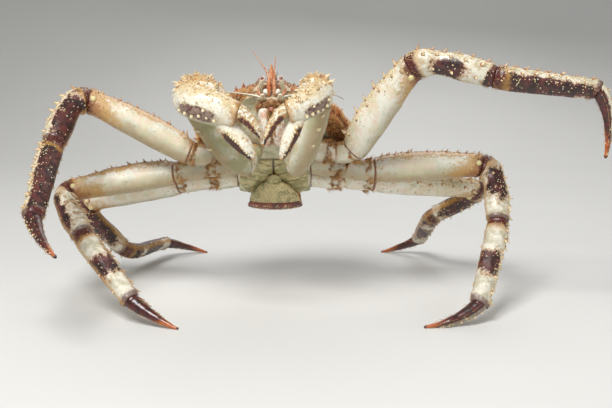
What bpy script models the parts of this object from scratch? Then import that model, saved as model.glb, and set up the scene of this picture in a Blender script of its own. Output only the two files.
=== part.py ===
"""A life-size red king crab that stands reared up on four of its walking legs.

The crab faces -Y and its back slopes up towards its head. Its left side is +X.
Points on the body are given as (x, f, d): across, towards the head, towards the back.
Points along the limbs are given from the middle of the breast plate, +Z up.
"""

import math
import random

import bmesh
import bpy
from mathutils import Vector

# Driving sizes, in metres
GAP = 0.0003
CARAPACE_WIDTH = 0.192
CARAPACE_FRONT = 0.100
CARAPACE_REAR = -0.076
MARGIN_LEVEL = 0.036
CARAPACE_HEIGHT = 0.050
BREAST_HEIGHT = 0.167
PITCH = math.radians(45)
MIDLINE = 0.0038
FLANK = 0.046
LEG_GAUGE = (0.0195, 0.0195, 0.0180)
CLAW_GAUGE = {"right": 0.0245, "left": 0.0205}
FLOOR_LEVEL = 0.0

SEED = 11
SPINE_SIDES = 5
SPINE_SINK = 0.0025
RIGHT, LEFT = "right", "left"
SIGN = {RIGHT: -1.0, LEFT: 1.0}

# Hip, knee, wrist, ankle and tip of each walking leg, seen from the floor point below the breast
LEG_JOINTS = {
    (1, RIGHT): ((-0.098, -0.015, 0.186), (-0.231, -0.030, 0.258), (-0.243, -0.090, 0.206),
                 (-0.241, -0.190, 0.139), (-0.205, -0.240, 0.108)),
    (1, LEFT): ((0.103, -0.015, 0.190), (0.172, -0.090, 0.303), (0.252, -0.105, 0.282),
                (0.368, -0.105, 0.267), (0.380, -0.107, 0.191)),
    (2, RIGHT): ((-0.120, 0.010, 0.158), (-0.268, 0.020, 0.131), (-0.227, -0.040, 0.089),
                 (-0.157, -0.110, 0.027), (-0.100, -0.135, 0.0002)),
    (2, LEFT): ((0.129, 0.010, 0.161), (0.281, 0.020, 0.166), (0.277, -0.035, 0.105),
                (0.243, -0.110, 0.022), (0.178, -0.130, 0.0012)),
    (3, RIGHT): ((-0.118, 0.040, 0.140), (-0.262, 0.095, 0.103), (-0.208, 0.105, 0.040),
                 (-0.165, 0.210, 0.024), (-0.108, 0.250, 0.0)),
    (3, LEFT): ((0.129, 0.040, 0.142), (0.282, 0.080, 0.125), (0.226, 0.130, 0.083),
                (0.213, 0.225, 0.026), (0.160, 0.252, 0.0002)),
}

# Root, hip, elbow, wrist, finger joint and finger tips of each claw arm, in the same way
ARM_JOINTS = {
    RIGHT: {"hip": (-0.029, -0.046, 0.175), "elbow": (-0.090, -0.060, 0.252),
            "wrist": (-0.090, -0.099, 0.258), "knuckle": (-0.031, -0.130, 0.240),
            "finger": (-0.005, -0.136, 0.215), "thumb": (-0.014, -0.131, 0.192)},
    LEFT: {"hip": (0.0335, -0.046, 0.175), "elbow": (0.060, -0.060, 0.248),
           "wrist": (0.062, -0.097, 0.264), "knuckle": (0.024, -0.128, 0.243),
           "finger": (-0.003, -0.133, 0.207), "thumb": (0.017, -0.129, 0.192)},
}

# Where each limb grows from the body: distance forward and level along the flank
LEG_ROOTS = {1: (0.022, 0.009), 2: (-0.008, 0.009), 3: (-0.038, 0.010)}
ARM_ROOT = (0.025, 0.035, 0.0)

COLOURS = {
    "shell_back": (0.30, 0.085, 0.045),
    "shell_pale": (0.78, 0.74, 0.60),
    "shell_dark": (0.17, 0.055, 0.045),
    "claw_tip": (0.10, 0.035, 0.020),
    "mouth": (0.36, 0.20, 0.10),
    "feeler": (0.72, 0.24, 0.09),
    "eye": (0.62, 0.48, 0.36),
}

draw = random.Random(SEED)


def clear_scene():
    for obj in list(bpy.data.objects):
        bpy.data.objects.remove(obj, do_unlink=True)


def make_materials():
    materials = {}
    for name, colour in COLOURS.items():
        material = bpy.data.materials.new(name)
        material.use_nodes = True
        shader = material.node_tree.nodes["Principled BSDF"]
        shader.inputs["Base Color"].default_value = (*colour, 1.0)
        shader.inputs["Roughness"].default_value = 0.25 if name == "eye" else 0.45
        shader.inputs["Metallic"].default_value = 0.0
        materials[name] = material
    return materials


def body_point(x, f, d):
    """A point of the body, which is pitched up about the breast plate."""
    across = MIDLINE + x
    depth = -f * math.cos(PITCH) + d * math.sin(PITCH)
    height = BREAST_HEIGHT + f * math.sin(PITCH) + d * math.cos(PITCH)
    return Vector((across, depth, height))


def body_direction(x, f, d):
    return (body_point(x, f, d) - body_point(0, 0, 0)).normalized()


def table(rows, t, column):
    """The value in a column of (t, ...) rows, eased between the rows on either side of t."""
    if t <= rows[0][0]:
        return rows[0][column]
    for low, high in zip(rows, rows[1:]):
        if t <= high[0]:
            part = (t - low[0]) / (high[0] - low[0])
            eased = part * part * (3 - 2 * part)
            return low[column] + (high[column] - low[column]) * (part + eased) / 2
    return rows[-1][column]


def object_from(bm, name, material=None):
    bmesh.ops.triangulate(bm, faces=bm.faces)
    bmesh.ops.recalc_face_normals(bm, faces=bm.faces)
    mesh = bpy.data.meshes.new(name)
    bm.to_mesh(mesh)
    bm.free()
    obj = bpy.data.objects.new(name, mesh)
    if material:
        mesh.materials.append(material)
        mesh.shade_smooth()
        mesh.set_sharp_from_angle(angle=math.radians(40))
        parts.objects.link(obj)
    return obj


def skin_rings(rings):
    """A closed bmesh through rings of points, with a flat cap at each end."""
    bm = bmesh.new()
    rows = [[bm.verts.new(point) for point in ring] for ring in rings]
    count = len(rows[0])
    for low, high in zip(rows, rows[1:]):
        for i in range(count):
            j = (i + 1) % count
            bm.faces.new((low[i], low[j], high[j], high[i]))
    bm.faces.new(list(reversed(rows[0])))
    bm.faces.new(rows[-1])
    return bm


class Tube:
    """A limb piece: an oval section carried along a curve, its ends cut to given planes."""

    def __init__(self, start, end, start_way, end_way, up, sizes, start_plane=None,
                 end_plane=None, handles=(0.3, 0.3), keel=0.0, ease=0.22):
        self.start, self.end = Vector(start), Vector(end)
        self.ease = ease
        span = (self.end - self.start).length
        self.first = self.start + Vector(start_way).normalized() * span * handles[0]
        self.last = self.end - Vector(end_way).normalized() * span * handles[1]
        self.way = self.tangent(0.0)
        self.up = Vector(up) - self.way * Vector(up).dot(self.way)
        self.up.normalize()
        self.sizes = sizes
        self.start_plane = Vector(start_plane or self.way).normalized()
        self.end_plane = Vector(end_plane or self.tangent(1.0)).normalized()
        self.keel = keel

    def centre(self, t):
        s = 1 - t
        return (self.start * s**3 + self.first * 3 * s * s * t
                + self.last * 3 * s * t * t + self.end * t**3)

    def tangent(self, t):
        step = 0.01
        low, high = max(0.0, t - step), min(1.0, t + step)
        return (self.centre(high) - self.centre(low)).normalized()

    def up_at(self, t):
        return self.way.rotation_difference(self.tangent(t)) @ self.up

    def plane_at(self, t):
        near_start = max(0.0, 1 - t / self.ease)
        near_end = max(0.0, 1 - (1 - t) / self.ease)
        plane = self.tangent(t) * (1 - near_start - near_end)
        return (plane + self.start_plane * near_start + self.end_plane * near_end).normalized()

    def point(self, t, turn):
        """The surface at t along and at an angle from the upper edge, in degrees."""
        way, up = self.tangent(t), self.up_at(t)
        side = way.cross(up)
        angle = math.radians(turn)
        height, width = table(self.sizes, t, 1), table(self.sizes, t, 2)
        keel = self.keel * max(0.0, math.cos(angle)) ** 6
        arm = up * (height * (math.cos(angle) + keel)) + side * (width * math.sin(angle))
        plane = self.plane_at(t)
        arm -= way * (arm.dot(plane) / way.dot(plane))
        shift = table(self.sizes, t, 3) if len(self.sizes[0]) > 3 else 0.0
        return self.centre(t) + side * shift + arm

    def normal(self, t, turn):
        along = self.point(min(t + 0.02, 1.0), turn) - self.point(max(t - 0.02, 0.0), turn)
        around = self.point(t, turn + 4) - self.point(t, turn - 4)
        out = around.cross(along).normalized()
        return out if out.dot(self.point(t, turn) - self.centre(t)) > 0 else -out

    def rings(self, stops, sides):
        turns = [360 * i / sides for i in range(sides)]
        return [[self.point(t, turn) for turn in turns] for t in stops]

    def build(self, name, material, stops, sides):
        return object_from(skin_rings(self.rings(stops, sides)), name, material)


def cone(root, way, length, radius, sides=SPINE_SIDES, sink=SPINE_SINK, blunt=0.0):
    """One closed spine from below the surface to its point."""
    bm = bmesh.new()
    bmesh.ops.create_cone(bm, cap_ends=True, segments=sides, radius1=radius,
                          radius2=radius * blunt, depth=length + sink)
    if blunt == 0.0:
        bmesh.ops.remove_doubles(bm, verts=bm.verts, dist=1e-6)
    turn = Vector((0, 0, 1)).rotation_difference(way)
    middle = root + way * ((length - sink) / 2)
    for vert in bm.verts:
        vert.co = middle + turn @ vert.co
    return object_from(bm, "spine")


def knob(centre, radius, name="knob", material=None, detail=1):
    bm = bmesh.new()
    bmesh.ops.create_icosphere(bm, subdivisions=detail, radius=radius)
    for vert in bm.verts:
        vert.co = vert.co + centre
    return object_from(bm, name, material)


def largest_surface(mesh):
    """Keeps only the closed surface with the most faces."""
    bm = bmesh.new()
    bm.from_mesh(mesh)
    left_over = set(bm.verts)
    islands = []
    while left_over:
        seed = left_over.pop()
        island, edge = {seed}, [seed]
        while edge:
            vert = edge.pop()
            for link in vert.link_edges:
                other = link.other_vert(vert)
                if other in left_over:
                    left_over.discard(other)
                    island.add(other)
                    edge.append(other)
        islands.append(island)
    keep = max(islands, key=len)
    drop = [vert for vert in bm.verts if vert not in keep]
    bmesh.ops.delete(bm, geom=drop, context="VERTS")
    bm.to_mesh(mesh)
    bm.free()


def fuse(base, pieces, solver="MANIFOLD"):
    """Joins closed pieces to a node with one union, and removes the pieces."""
    group = bpy.data.collections.new("pieces")
    bpy.context.scene.collection.children.link(group)
    for piece in pieces:
        group.objects.link(piece)
    join = base.modifiers.new("Join", "BOOLEAN")
    join.operation = "UNION"
    join.operand_type = "COLLECTION"
    join.collection = group
    join.solver = solver
    bpy.context.view_layer.update()
    graph = bpy.context.evaluated_depsgraph_get()
    joined = bpy.data.meshes.new_from_object(base.evaluated_get(graph))
    base.modifiers.clear()
    base.data = joined
    for piece in pieces:
        bpy.data.objects.remove(piece, do_unlink=True)
    bpy.data.collections.remove(group)
    largest_surface(joined)
    return base


def trim(obj, point, way):
    """Cuts a node flat, keeping the side that the way points to."""
    bm = bmesh.new()
    bm.from_mesh(obj.data)
    geometry = bm.verts[:] + bm.edges[:] + bm.faces[:]
    cut = bmesh.ops.bisect_plane(bm, geom=geometry, plane_co=point, plane_no=-Vector(way),
                                 clear_outer=True, dist=1e-7)
    edges = [item for item in cut["geom_cut"] if isinstance(item, bmesh.types.BMEdge)]
    bmesh.ops.holes_fill(bm, edges=edges)
    bmesh.ops.recalc_face_normals(bm, faces=bm.faces)
    bm.to_mesh(obj.data)
    bm.free()


def blend(a, b, share):
    return (Vector(a).normalized() * (1 - share) + Vector(b).normalized() * share).normalized()


def spine_row(tube, spots, turn, length, radius, lean=0.35, wander=6.0):
    """Spines along a tube at one turn from its upper edge, leaning towards its far end."""
    pieces = []
    for t in spots:
        around = turn + draw.uniform(-wander, wander)
        size = draw.uniform(0.75, 1.15)
        way = (tube.normal(t, around) + tube.tangent(t) * lean).normalized()
        pieces.append(cone(tube.point(t, around), way, length * size, radius * size))
    return pieces


def spread(low, high, count):
    if count == 1:
        return [(low + high) / 2]
    return [low + (high - low) * i / (count - 1) for i in range(count)]


# Half height and half width along each walking-leg piece, as shares of the leg's gauge
MERUS = ((0.0, 0.78, 0.66), (0.12, 0.92, 0.76), (0.35, 1.0, 0.82), (0.6, 0.96, 0.78),
         (0.82, 0.82, 0.68), (1.0, 0.76, 0.64))
CARPUS = ((0.0, 0.80, 0.68), (0.16, 0.86, 0.72), (0.42, 0.68, 0.60), (0.78, 0.77, 0.66),
          (1.0, 0.66, 0.58))
PROPODUS = ((0.0, 0.66, 0.56), (0.2, 0.70, 0.58), (0.6, 0.66, 0.52), (1.0, 0.57, 0.46))
DACTYL = ((0.0, 0.50, 0.42), (0.2, 0.43, 0.36), (0.5, 0.29, 0.24), (0.8, 0.16, 0.14),
          (1.0, 0.065, 0.065))
COXA = ((0.0, 0.62, 0.62), (0.3, 0.72, 0.68), (0.5, 0.64, 0.60), (0.75, 0.72, 0.64),
        (1.0, 0.70, 0.60))
KNEE_SET = 0.0150

# The edge that carries the strong spines below the knee, in degrees from the upper edge
RIDGE = {(2, RIGHT): 165.0}
# Where the spines start along the merus, which is clear of the leg in front
MERUS_FIRST_SPINE = {1: 0.10, 2: 0.10, 3: 0.34}


def sized(rows, gauge):
    return tuple((row[0], *(value * gauge for value in row[1:])) for row in rows)


def leg_tubes(number, side):
    """The five pieces of one walking leg, from its root on the flank to its tip."""
    sign = SIGN[side]
    gauge = LEG_GAUGE[number - 1]
    hip, knee, wrist, ankle, tip = [Vector(joint) for joint in LEG_JOINTS[number, side]]
    thigh, shin = (knee - hip).normalized(), (wrist - knee).normalized()
    hand, toe = (ankle - wrist).normalized(), (tip - ankle).normalized()
    out = Vector((sign, 0, 0))
    ridge = -(shin - thigh * shin.dot(thigh))
    root = body_point(sign * (FLANK + GAP), *LEG_ROOTS[number])
    hip_way = blend(out, thigh, 0.6)
    hip_plane = (hip_way + thigh).normalized()
    bend_way = blend(thigh, shin, 0.42)
    knee_plane = (thigh + bend_way).normalized()
    knee_at = knee - thigh * KNEE_SET
    wrist_way = blend(shin, hand, 0.5)
    wrist_plane = (shin + wrist_way).normalized()
    ankle_way = blend(hand, toe, 0.5)
    ankle_plane = (hand + ankle_way).normalized()
    half = GAP / 2
    tubes = {}
    tubes["base"] = Tube(root, hip - hip_plane * half, out, hip_way, ridge,
                         sized(COXA, gauge), out, hip_plane)
    tubes["merus"] = Tube(hip + hip_plane * half, knee_at - knee_plane * half,
                          thigh + ridge.normalized() * 0.10, thigh - ridge.normalized() * 0.10,
                          ridge, sized(MERUS, gauge), hip_plane, knee_plane, keel=0.06)
    up = tubes["merus"].up_at(1.0)
    tubes["carpus"] = Tube(knee_at + knee_plane * half, wrist - wrist_plane * half, bend_way,
                           shin, up, sized(CARPUS, gauge), knee_plane, wrist_plane,
                           handles=(0.27, 0.50), keel=0.05)
    up = tubes["carpus"].up_at(1.0)
    tubes["propodus"] = Tube(wrist + wrist_plane * half, ankle - ankle_plane * half, wrist_way,
                             hand, up, sized(PROPODUS, gauge), wrist_plane, ankle_plane,
                             handles=(0.25, 0.45))
    up = tubes["propodus"].up_at(1.0)
    curl = toe + (toe - hand) * 0.5
    tubes["dactyl"] = Tube(ankle + ankle_plane * half, tip, ankle_way, curl, up,
                           sized(DACTYL, gauge), ankle_plane)
    return tubes


LEG_STOPS = {
    "base": (0.0, 0.12, 0.34, 0.5, 0.72, 1.0),
    "merus": (0.0, 0.10, 0.3, 0.55, 0.78, 0.92, 1.0),
    "carpus": (0.0, 0.14, 0.28, 0.45, 0.72, 0.9, 1.0),
    "propodus": (0.0, 0.14, 0.45, 0.8, 1.0),
    "dactyl": (0.0, 0.14, 0.32, 0.5, 0.68, 0.85, 0.96, 1.0),
}
LEG_SIDES = {"base": 10, "merus": 12, "carpus": 10, "propodus": 10, "dactyl": 8}
LEG_LOOKS = {"base": "shell_pale", "merus": "shell_pale", "carpus": "shell_dark",
             "propodus": "shell_dark", "dactyl": "claw_tip"}


def leg_spines(name, tube, ridge, low):
    """The spines of one leg piece: a strong row on its ridge and weaker ones beside it."""
    first = 0.16 if ridge == 0 else 0.38
    if name == "merus":
        return (spine_row(tube, spread(low, 0.90, 7), 0, 0.0085, 0.0026)
                + spine_row(tube, spread(low + 0.06, 0.84, 5), 32, 0.0045, 0.0020)
                + spine_row(tube, spread(low + 0.04, 0.88, 6), -32, 0.0050, 0.0021)
                + spine_row(tube, (0.93, 0.94), 55, 0.0060, 0.0023)
                + spine_row(tube, (0.93,), -58, 0.0060, 0.0023))
    if name == "carpus":
        return (spine_row(tube, spread(first, 0.92, 6), ridge - 14, 0.0070, 0.0024)
                + spine_row(tube, spread(first + 0.06, 0.88, 5), ridge + 26, 0.0058, 0.0022)
                + spine_row(tube, spread(0.35, 0.85, 3), ridge + 95, 0.0035, 0.0018))
    if name == "propodus":
        return (spine_row(tube, spread(0.10, 0.93, 8), ridge - 12, 0.0062, 0.0021, 0.8)
                + spine_row(tube, spread(0.15, 0.88, 6), ridge + 26, 0.0048, 0.0019, 0.8)
                + spine_row(tube, spread(0.2, 0.85, 4), ridge + 178, 0.0032, 0.0016, 0.8))
    if name == "dactyl":
        return spine_row(tube, spread(0.10, 0.42, 4), ridge, 0.0036, 0.0015, 0.9)
    return spine_row(tube, (0.34, 0.46, 0.80), -20, 0.0045, 0.0018, 0.2)


def build_leg(number, side):
    ridge = RIDGE.get((number, side), 0.0)
    for name, tube in leg_tubes(number, side).items():
        node = tube.build(f"leg_{number}_{side}_{name}", materials[LEG_LOOKS[name]],
                          LEG_STOPS[name], LEG_SIDES[name])
        edge = ridge if name in ("carpus", "propodus", "dactyl") else 0.0
        fuse(node, leg_spines(name, tube, edge, MERUS_FIRST_SPINE[number]))
        if name == "dactyl" and number > 1:
            trim(node, (0, 0, FLOOR_LEVEL), (0, 0, 1))


# Half height, half width and shift towards the midline along each piece of a claw arm
ARM_BASE = ((0.0, 0.0125, 0.0125), (0.5, 0.0135, 0.0130), (1.0, 0.0125, 0.0125))
ARM_MERUS = ((0.0, 0.0120, 0.0120), (0.3, 0.0160, 0.0150), (0.75, 0.0165, 0.0150),
             (1.0, 0.0140, 0.0135))
ARM_CARPUS = {
    RIGHT: ((0.0, 0.0140, 0.0140, 0.0), (0.35, 0.0222, 0.0250, 0.012),
            (0.7, 0.0242, 0.0295, 0.017), (1.0, 0.0140, 0.0150, 0.001)),
    LEFT: ((0.0, 0.0130, 0.0135, 0.0), (0.35, 0.0176, 0.0180, 0.006),
           (0.7, 0.0192, 0.0190, 0.007), (1.0, 0.0120, 0.0125, 0.001)),
}
PALM = {
    RIGHT: ((0.0, 0.52, 0.54), (0.16, 0.78, 0.68), (0.42, 0.82, 0.72), (0.72, 0.78, 0.62),
            (1.0, 0.62, 0.46)),
    LEFT: ((0.0, 0.52, 0.54), (0.16, 0.78, 0.68), (0.42, 0.90, 0.72), (0.72, 0.82, 0.62),
           (1.0, 0.62, 0.46)),
}
FINGER = ((0.0, 0.34, 0.30), (0.25, 0.33, 0.27), (0.6, 0.24, 0.20), (1.0, 0.06, 0.06))
THUMB = ((0.0, 0.42, 0.36), (0.35, 0.47, 0.40), (0.65, 0.39, 0.34), (0.88, 0.24, 0.18),
         (1.0, 0.07, 0.07))
FINGER_RISE = 0.25
THUMB_DROP = 0.42


def arm_tubes(side):
    """The pieces of one claw arm: base, merus, carpus, palm with its thumb, and finger."""
    sign = SIGN[side]
    gauge = CLAW_GAUGE[side]
    joints = {name: Vector(place) for name, place in ARM_JOINTS[side].items()}
    down, up = body_direction(0, 0, -1), Vector((0, 0.3, 1))
    hip, elbow, wrist, knuckle = (joints[key] for key in ("hip", "elbow", "wrist", "knuckle"))
    root = body_point(sign * ARM_ROOT[0], ARM_ROOT[1], ARM_ROOT[2] - GAP)
    upper = (elbow - hip).normalized()
    hip_way, rise_way = blend(down, upper, 0.28), blend(down, upper, 0.62)
    hip_plane = (hip_way + rise_way).normalized()
    bend_way = blend(upper, (0, -0.3, 1), 0.5)
    elbow_plane = (upper + bend_way).normalized()
    fore = Vector((0, -0.9, -0.35)).normalized()
    palm_way = Vector((-sign * 0.15, -1, -0.1)).normalized()
    wrist_plane = (fore + palm_way).normalized()
    knuckle_way = Vector((-sign, -0.10, -0.35)).normalized()
    half = GAP / 2
    tubes = {}
    tubes["base"] = Tube(root, hip - hip_plane * half, down, hip_way, (0, 0, 1), ARM_BASE,
                         down, hip_plane, ease=0.5)
    tubes["merus"] = Tube(hip + hip_plane * half, elbow - elbow_plane * half, rise_way, upper,
                          up, ARM_MERUS, hip_plane, elbow_plane)
    shifts = tuple((*row[:3], row[3] * sign) for row in ARM_CARPUS[side])
    tubes["carpus"] = Tube(elbow + elbow_plane * half, wrist - wrist_plane * half, bend_way,
                           fore, up, shifts, elbow_plane, wrist_plane, handles=(0.45, 0.4),
                           ease=0.4)
    tubes["palm"] = Tube(wrist + wrist_plane * half, knuckle, palm_way, knuckle_way, up,
                         sized(PALM[side], gauge), wrist_plane, knuckle_way, handles=(0.35, 0.4))
    rise = tubes["palm"].up_at(1.0) * gauge
    finger_root = knuckle + knuckle_way * GAP + rise * FINGER_RISE
    finger_way = Vector((-sign * 0.8, -0.1, -0.6))
    tubes["finger"] = Tube(finger_root, joints["finger"], finger_way,
                           (-sign * 0.25, 0, -1), up, sized(FINGER, gauge), knuckle_way)
    thumb_root = tubes["palm"].centre(0.83) - rise * THUMB_DROP
    tubes["thumb"] = Tube(thumb_root, joints["thumb"], (-sign * 0.5, -0.05, -0.9),
                          (-sign * 0.35, 0.0, -1), up, sized(THUMB, gauge))
    return tubes


ARM_STOPS = {
    "base": (0.0, 0.25, 0.5, 1.0),
    "merus": (0.0, 0.2, 0.45, 0.75, 1.0),
    "carpus": (0.0, 0.2, 0.4, 0.6, 0.8, 1.0),
    "palm": (0.0, 0.12, 0.28, 0.45, 0.65, 0.85, 1.0),
    "finger": (0.0, 0.2, 0.4, 0.6, 0.8, 0.95, 1.0),
    "thumb": (0.0, 0.25, 0.45, 0.65, 0.85, 0.97, 1.0),
}


def arm_spines(name, tube, side):
    if name == "merus":
        return spine_row(tube, spread(0.45, 0.88, 3), 180, 0.0050, 0.0023)
    if name == "carpus":
        pieces = []
        for turn in (-68, -38, -10, 18, 46, 72):
            pieces += spine_row(tube, spread(0.28, 0.78, 3), turn, 0.0070, 0.0028, 0.3)
        return pieces
    if name == "palm":
        pieces = []
        for turn in (-34, -8):
            pieces += spine_row(tube, spread(0.22, 0.80, 4), turn, 0.0042, 0.0024, 0.4)
        front = -SIGN[side]
        pieces += spine_row(tube, spread(0.25, 0.75, 6), front * 118, 0.0026, 0.0024, 0.0)
        pieces += spine_row(tube, spread(0.3, 0.6, 2), front * 92, 0.0026, 0.0022, 0.0)
        return pieces
    return []


def build_arm(side):
    tubes = arm_tubes(side)
    thumb = object_from(skin_rings(tubes["thumb"].rings(ARM_STOPS["thumb"], 8)), "thumb")
    for name in ("base", "merus", "carpus", "palm", "finger"):
        look = "shell_back" if name == "carpus" else "shell_pale"
        sides = 8 if name == "finger" else 12
        node = tubes[name].build(f"claw_{side}_{name}", materials[look], ARM_STOPS[name], sides)
        pieces = arm_spines(name, tubes[name], side)
        if name == "palm":
            pieces.append(thumb)
        if pieces:
            fuse(node, pieces)


# Half width of the carapace and its height over the margin, from the rear to the front
CARAPACE_OUTLINE = ((-0.076, 0.038, 0.014), (-0.064, 0.062, 0.028), (-0.040, 0.084, 0.041),
                    (-0.010, 0.0955, 0.049), (0.018, 0.094, 0.050), (0.044, 0.083, 0.045),
                    (0.068, 0.062, 0.036), (0.086, 0.039, 0.026), (0.100, 0.021, 0.013))
CARAPACE_STOPS = (-0.076, -0.068, -0.055, -0.036, -0.012, 0.014, 0.038, 0.060, 0.078, 0.092,
                  0.100)
CARAPACE_ARC = 14


def carapace_point(f, turn):
    """The shell at a distance forward and a turn from the left margin, in degrees."""
    scale = CARAPACE_WIDTH / 0.191
    width = table(CARAPACE_OUTLINE, f, 1) * scale
    height = table(CARAPACE_OUTLINE, f, 2) * CARAPACE_HEIGHT / 0.050
    angle = math.radians(turn)
    across, rise = math.cos(angle), math.sin(angle)
    x = width * math.copysign(abs(across) ** 0.85, across)
    d = MARGIN_LEVEL + height * rise ** 0.80
    groove = 0.0030 * math.exp(-((f - 0.026) / 0.010) ** 2) * rise
    swell = 0.0035 * math.exp(-((abs(x) - 0.048) / 0.020) ** 2 - ((f + 0.025) / 0.030) ** 2)
    return body_point(x, f, d - groove + swell)


def carapace_normal(f, turn):
    along = carapace_point(f + 0.003, turn) - carapace_point(f - 0.003, turn)
    around = carapace_point(f, min(turn + 3, 180)) - carapace_point(f, max(turn - 3, 0))
    return along.cross(around).normalized()


def build_carapace():
    turns = [180 * i / CARAPACE_ARC for i in range(CARAPACE_ARC + 1)]
    rings = [[carapace_point(f, turn) for turn in turns] for f in CARAPACE_STOPS]
    node = object_from(skin_rings(rings), "carapace", materials["shell_back"])
    fuse(node, carapace_spines())


# Rows of spines over the back: distance forward, first and last turn, how many, and height
BACK_SPINES = ((-0.064, 35, 145, 5, 0.0065), (-0.048, 22, 158, 8, 0.0085),
               (-0.028, 16, 164, 9, 0.0090), (-0.006, 14, 166, 9, 0.0085),
               (0.016, 14, 166, 8, 0.0085), (0.040, 18, 162, 8, 0.0095),
               (0.062, 24, 156, 6, 0.0085), (0.082, 38, 142, 4, 0.0075))
MARGIN_SPINES = 9


def carapace_spines():
    pieces = []
    for f, first, last, count, height in BACK_SPINES:
        for turn in spread(first, last, count):
            at, around = f + draw.uniform(-0.004, 0.004), turn + draw.uniform(-3, 3)
            out = carapace_normal(at, around)
            if out.dot(body_direction(0, 0, 1)) < 0:
                out = -out
            way = (out + body_direction(0, 1, 0) * 0.25).normalized()
            size = draw.uniform(0.75, 1.15)
            pieces.append(cone(carapace_point(at, around), way, height * size, 0.0030 * size))
    for f in spread(-0.056, 0.086, MARGIN_SPINES):
        for turn in (6, 174):
            out = body_direction(math.copysign(1, 90 - turn), 0.35, 0.12)
            length = 0.0085 * draw.uniform(0.8, 1.15)
            pieces.append(cone(carapace_point(f, turn), out, length, 0.0027))
    return pieces


# Half width of the underside, its level and the top of the leg wall, from rear to front
UNDERSIDE = ((-0.072, 0.030, 0.012, 0.026), (-0.052, 0.046, 0.001, 0.025),
             (-0.030, 0.046, 0.000, 0.024), (0.000, 0.046, 0.000, 0.024),
             (0.018, 0.046, 0.000, 0.024), (0.037, 0.046, 0.001, 0.024),
             (0.055, 0.036, 0.004, 0.024), (0.072, 0.026, 0.009, 0.026),
             (0.088, 0.019, 0.018, 0.030), (0.097, 0.0165, 0.023, 0.031))
THORAX_INSET = 0.003


def build_thorax():
    """The body below the shell: flanks that lean in to the walls that carry the legs."""
    rings = []
    top = MARGIN_LEVEL - GAP
    for f, wall, level, wall_top in UNDERSIDE:
        rim = table(CARAPACE_OUTLINE, max(f, CARAPACE_REAR), 1) - THORAX_INSET
        flare = wall + (rim - wall) * 0.55
        half = [(rim, top), (rim - 0.001, top - 0.005), (flare, wall_top + 0.002),
                (wall, wall_top), (wall, level), (wall * 0.5, level - 0.0002)]
        ring = [body_point(x, f, d) for x, d in half]
        ring += [body_point(-x, f, d) for x, d in reversed(half)]
        rings.append(ring)
    object_from(skin_rings(rings), "thorax", materials["shell_pale"])


# Half width, lower level and thickness of the breast plate, from rear to front
BREAST = ((-0.052, 0.034, 0.0030), (-0.036, 0.042, 0.0042), (-0.010, 0.043, 0.0046),
          (0.006, 0.036, 0.0044), (0.016, 0.016, 0.0030))


def build_sternum():
    rings = []
    for f, width, thick in BREAST:
        top = -0.0002 - GAP
        half = [(width, top), (width, top - thick * 0.5), (width * 0.6, top - thick),
                (width * 0.12, top - thick * 0.8)]
        ring = [body_point(x, f, d) for x, d in half]
        ring += [body_point(-x, f, d) for x, d in reversed(half)]
        rings.append(ring)
    object_from(skin_rings(rings), "sternum", materials["shell_pale"])


def body_tube(start, end, start_way, end_way, sizes, up=(0, 0, 1), **more):
    """A tube between two points of the body, with its ways and upper side in the body's frame."""
    return Tube(body_point(*start), body_point(*end), body_direction(*start_way),
                body_direction(*end_way), body_direction(*up), sizes, **more)


ABDOMEN_TURN = ((0.0, 0.0105, 0.030), (0.3, 0.0090, 0.034), (0.7, 0.0062, 0.036),
                (1.0, 0.0048, 0.034))
ABDOMEN_FLAP = ((0.0, 0.0046, 0.033), (0.35, 0.0056, 0.030), (0.7, 0.0054, 0.021),
                (1.0, 0.0036, 0.010))


def build_abdomen():
    """The tail, which leaves the rear wall, turns under and lies along the breast plate."""
    turn = body_tube((0, -0.0723, 0.0215), (0, -0.058, -0.0110), (0, -1, 0), (0, 1, 0),
                     ABDOMEN_TURN, handles=(0.75, 0.72))
    turn.build("abdomen_turn", materials["shell_back"], spread(0, 1, 9), 12)
    flap = body_tube((0, -0.0577, -0.0110), (0, -0.018, -0.0098), (0, 1, 0), (0, 1, 0),
                     ABDOMEN_FLAP, up=(0, 0, -1))
    flap.build("abdomen_flap", materials["shell_pale"], spread(0, 1, 6), 12)
    telson = body_tube((0, -0.0177, -0.0098), (0, -0.006, -0.0088), (0, 1, 0), (0, 1, 0),
                       ((0.0, 0.0034, 0.0095), (0.5, 0.0036, 0.0080), (1.0, 0.0012, 0.0030)))
    telson.build("telson", materials["shell_pale"], spread(0, 1, 5), 10)


EYE_RADIUS = 0.0035
HEAD_WALL = 0.097 + GAP
ROSTRUM = ((0.0, 0.0052, 0.0068), (0.4, 0.0042, 0.0044), (1.0, 0.0007, 0.0007))
STALK = ((0.0, 0.0031, 0.0031), (0.5, 0.0025, 0.0025), (1.0, 0.0030, 0.0030))
FEELER_STEM = ((0.0, 0.0028, 0.0026), (0.5, 0.0022, 0.0022), (1.0, 0.0016, 0.0016))
FEELER_KNOB = 0.0034
WHIP = ((0.0, 0.0010, 0.0010), (1.0, 0.0004, 0.0004))
FEELER_TIPS = {RIGHT: (-0.0170, -0.060, 0.3095), LEFT: (0.0088, -0.056, 0.3030)}


def build_rostrum():
    tube = body_tube((0, CARAPACE_FRONT + GAP, 0.0425), (0, 0.127, 0.0535), (0, 1, 0.15),
                     (0, 1, 0.5), ROSTRUM, start_plane=body_direction(0, 1, 0))
    node = tube.build("rostrum", materials["shell_back"], spread(0, 1, 6), 8)
    pieces = spine_row(tube, (0.3, 0.6), 0, 0.0055, 0.0018, 1.0, 0)
    for turn in (60, -60):
        pieces += spine_row(tube, (0.35,), turn, 0.0085, 0.0022, 1.2, 0)
        pieces += spine_row(tube, (0.62,), turn, 0.0050, 0.0015, 1.2, 0)
    fuse(node, pieces)


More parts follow.
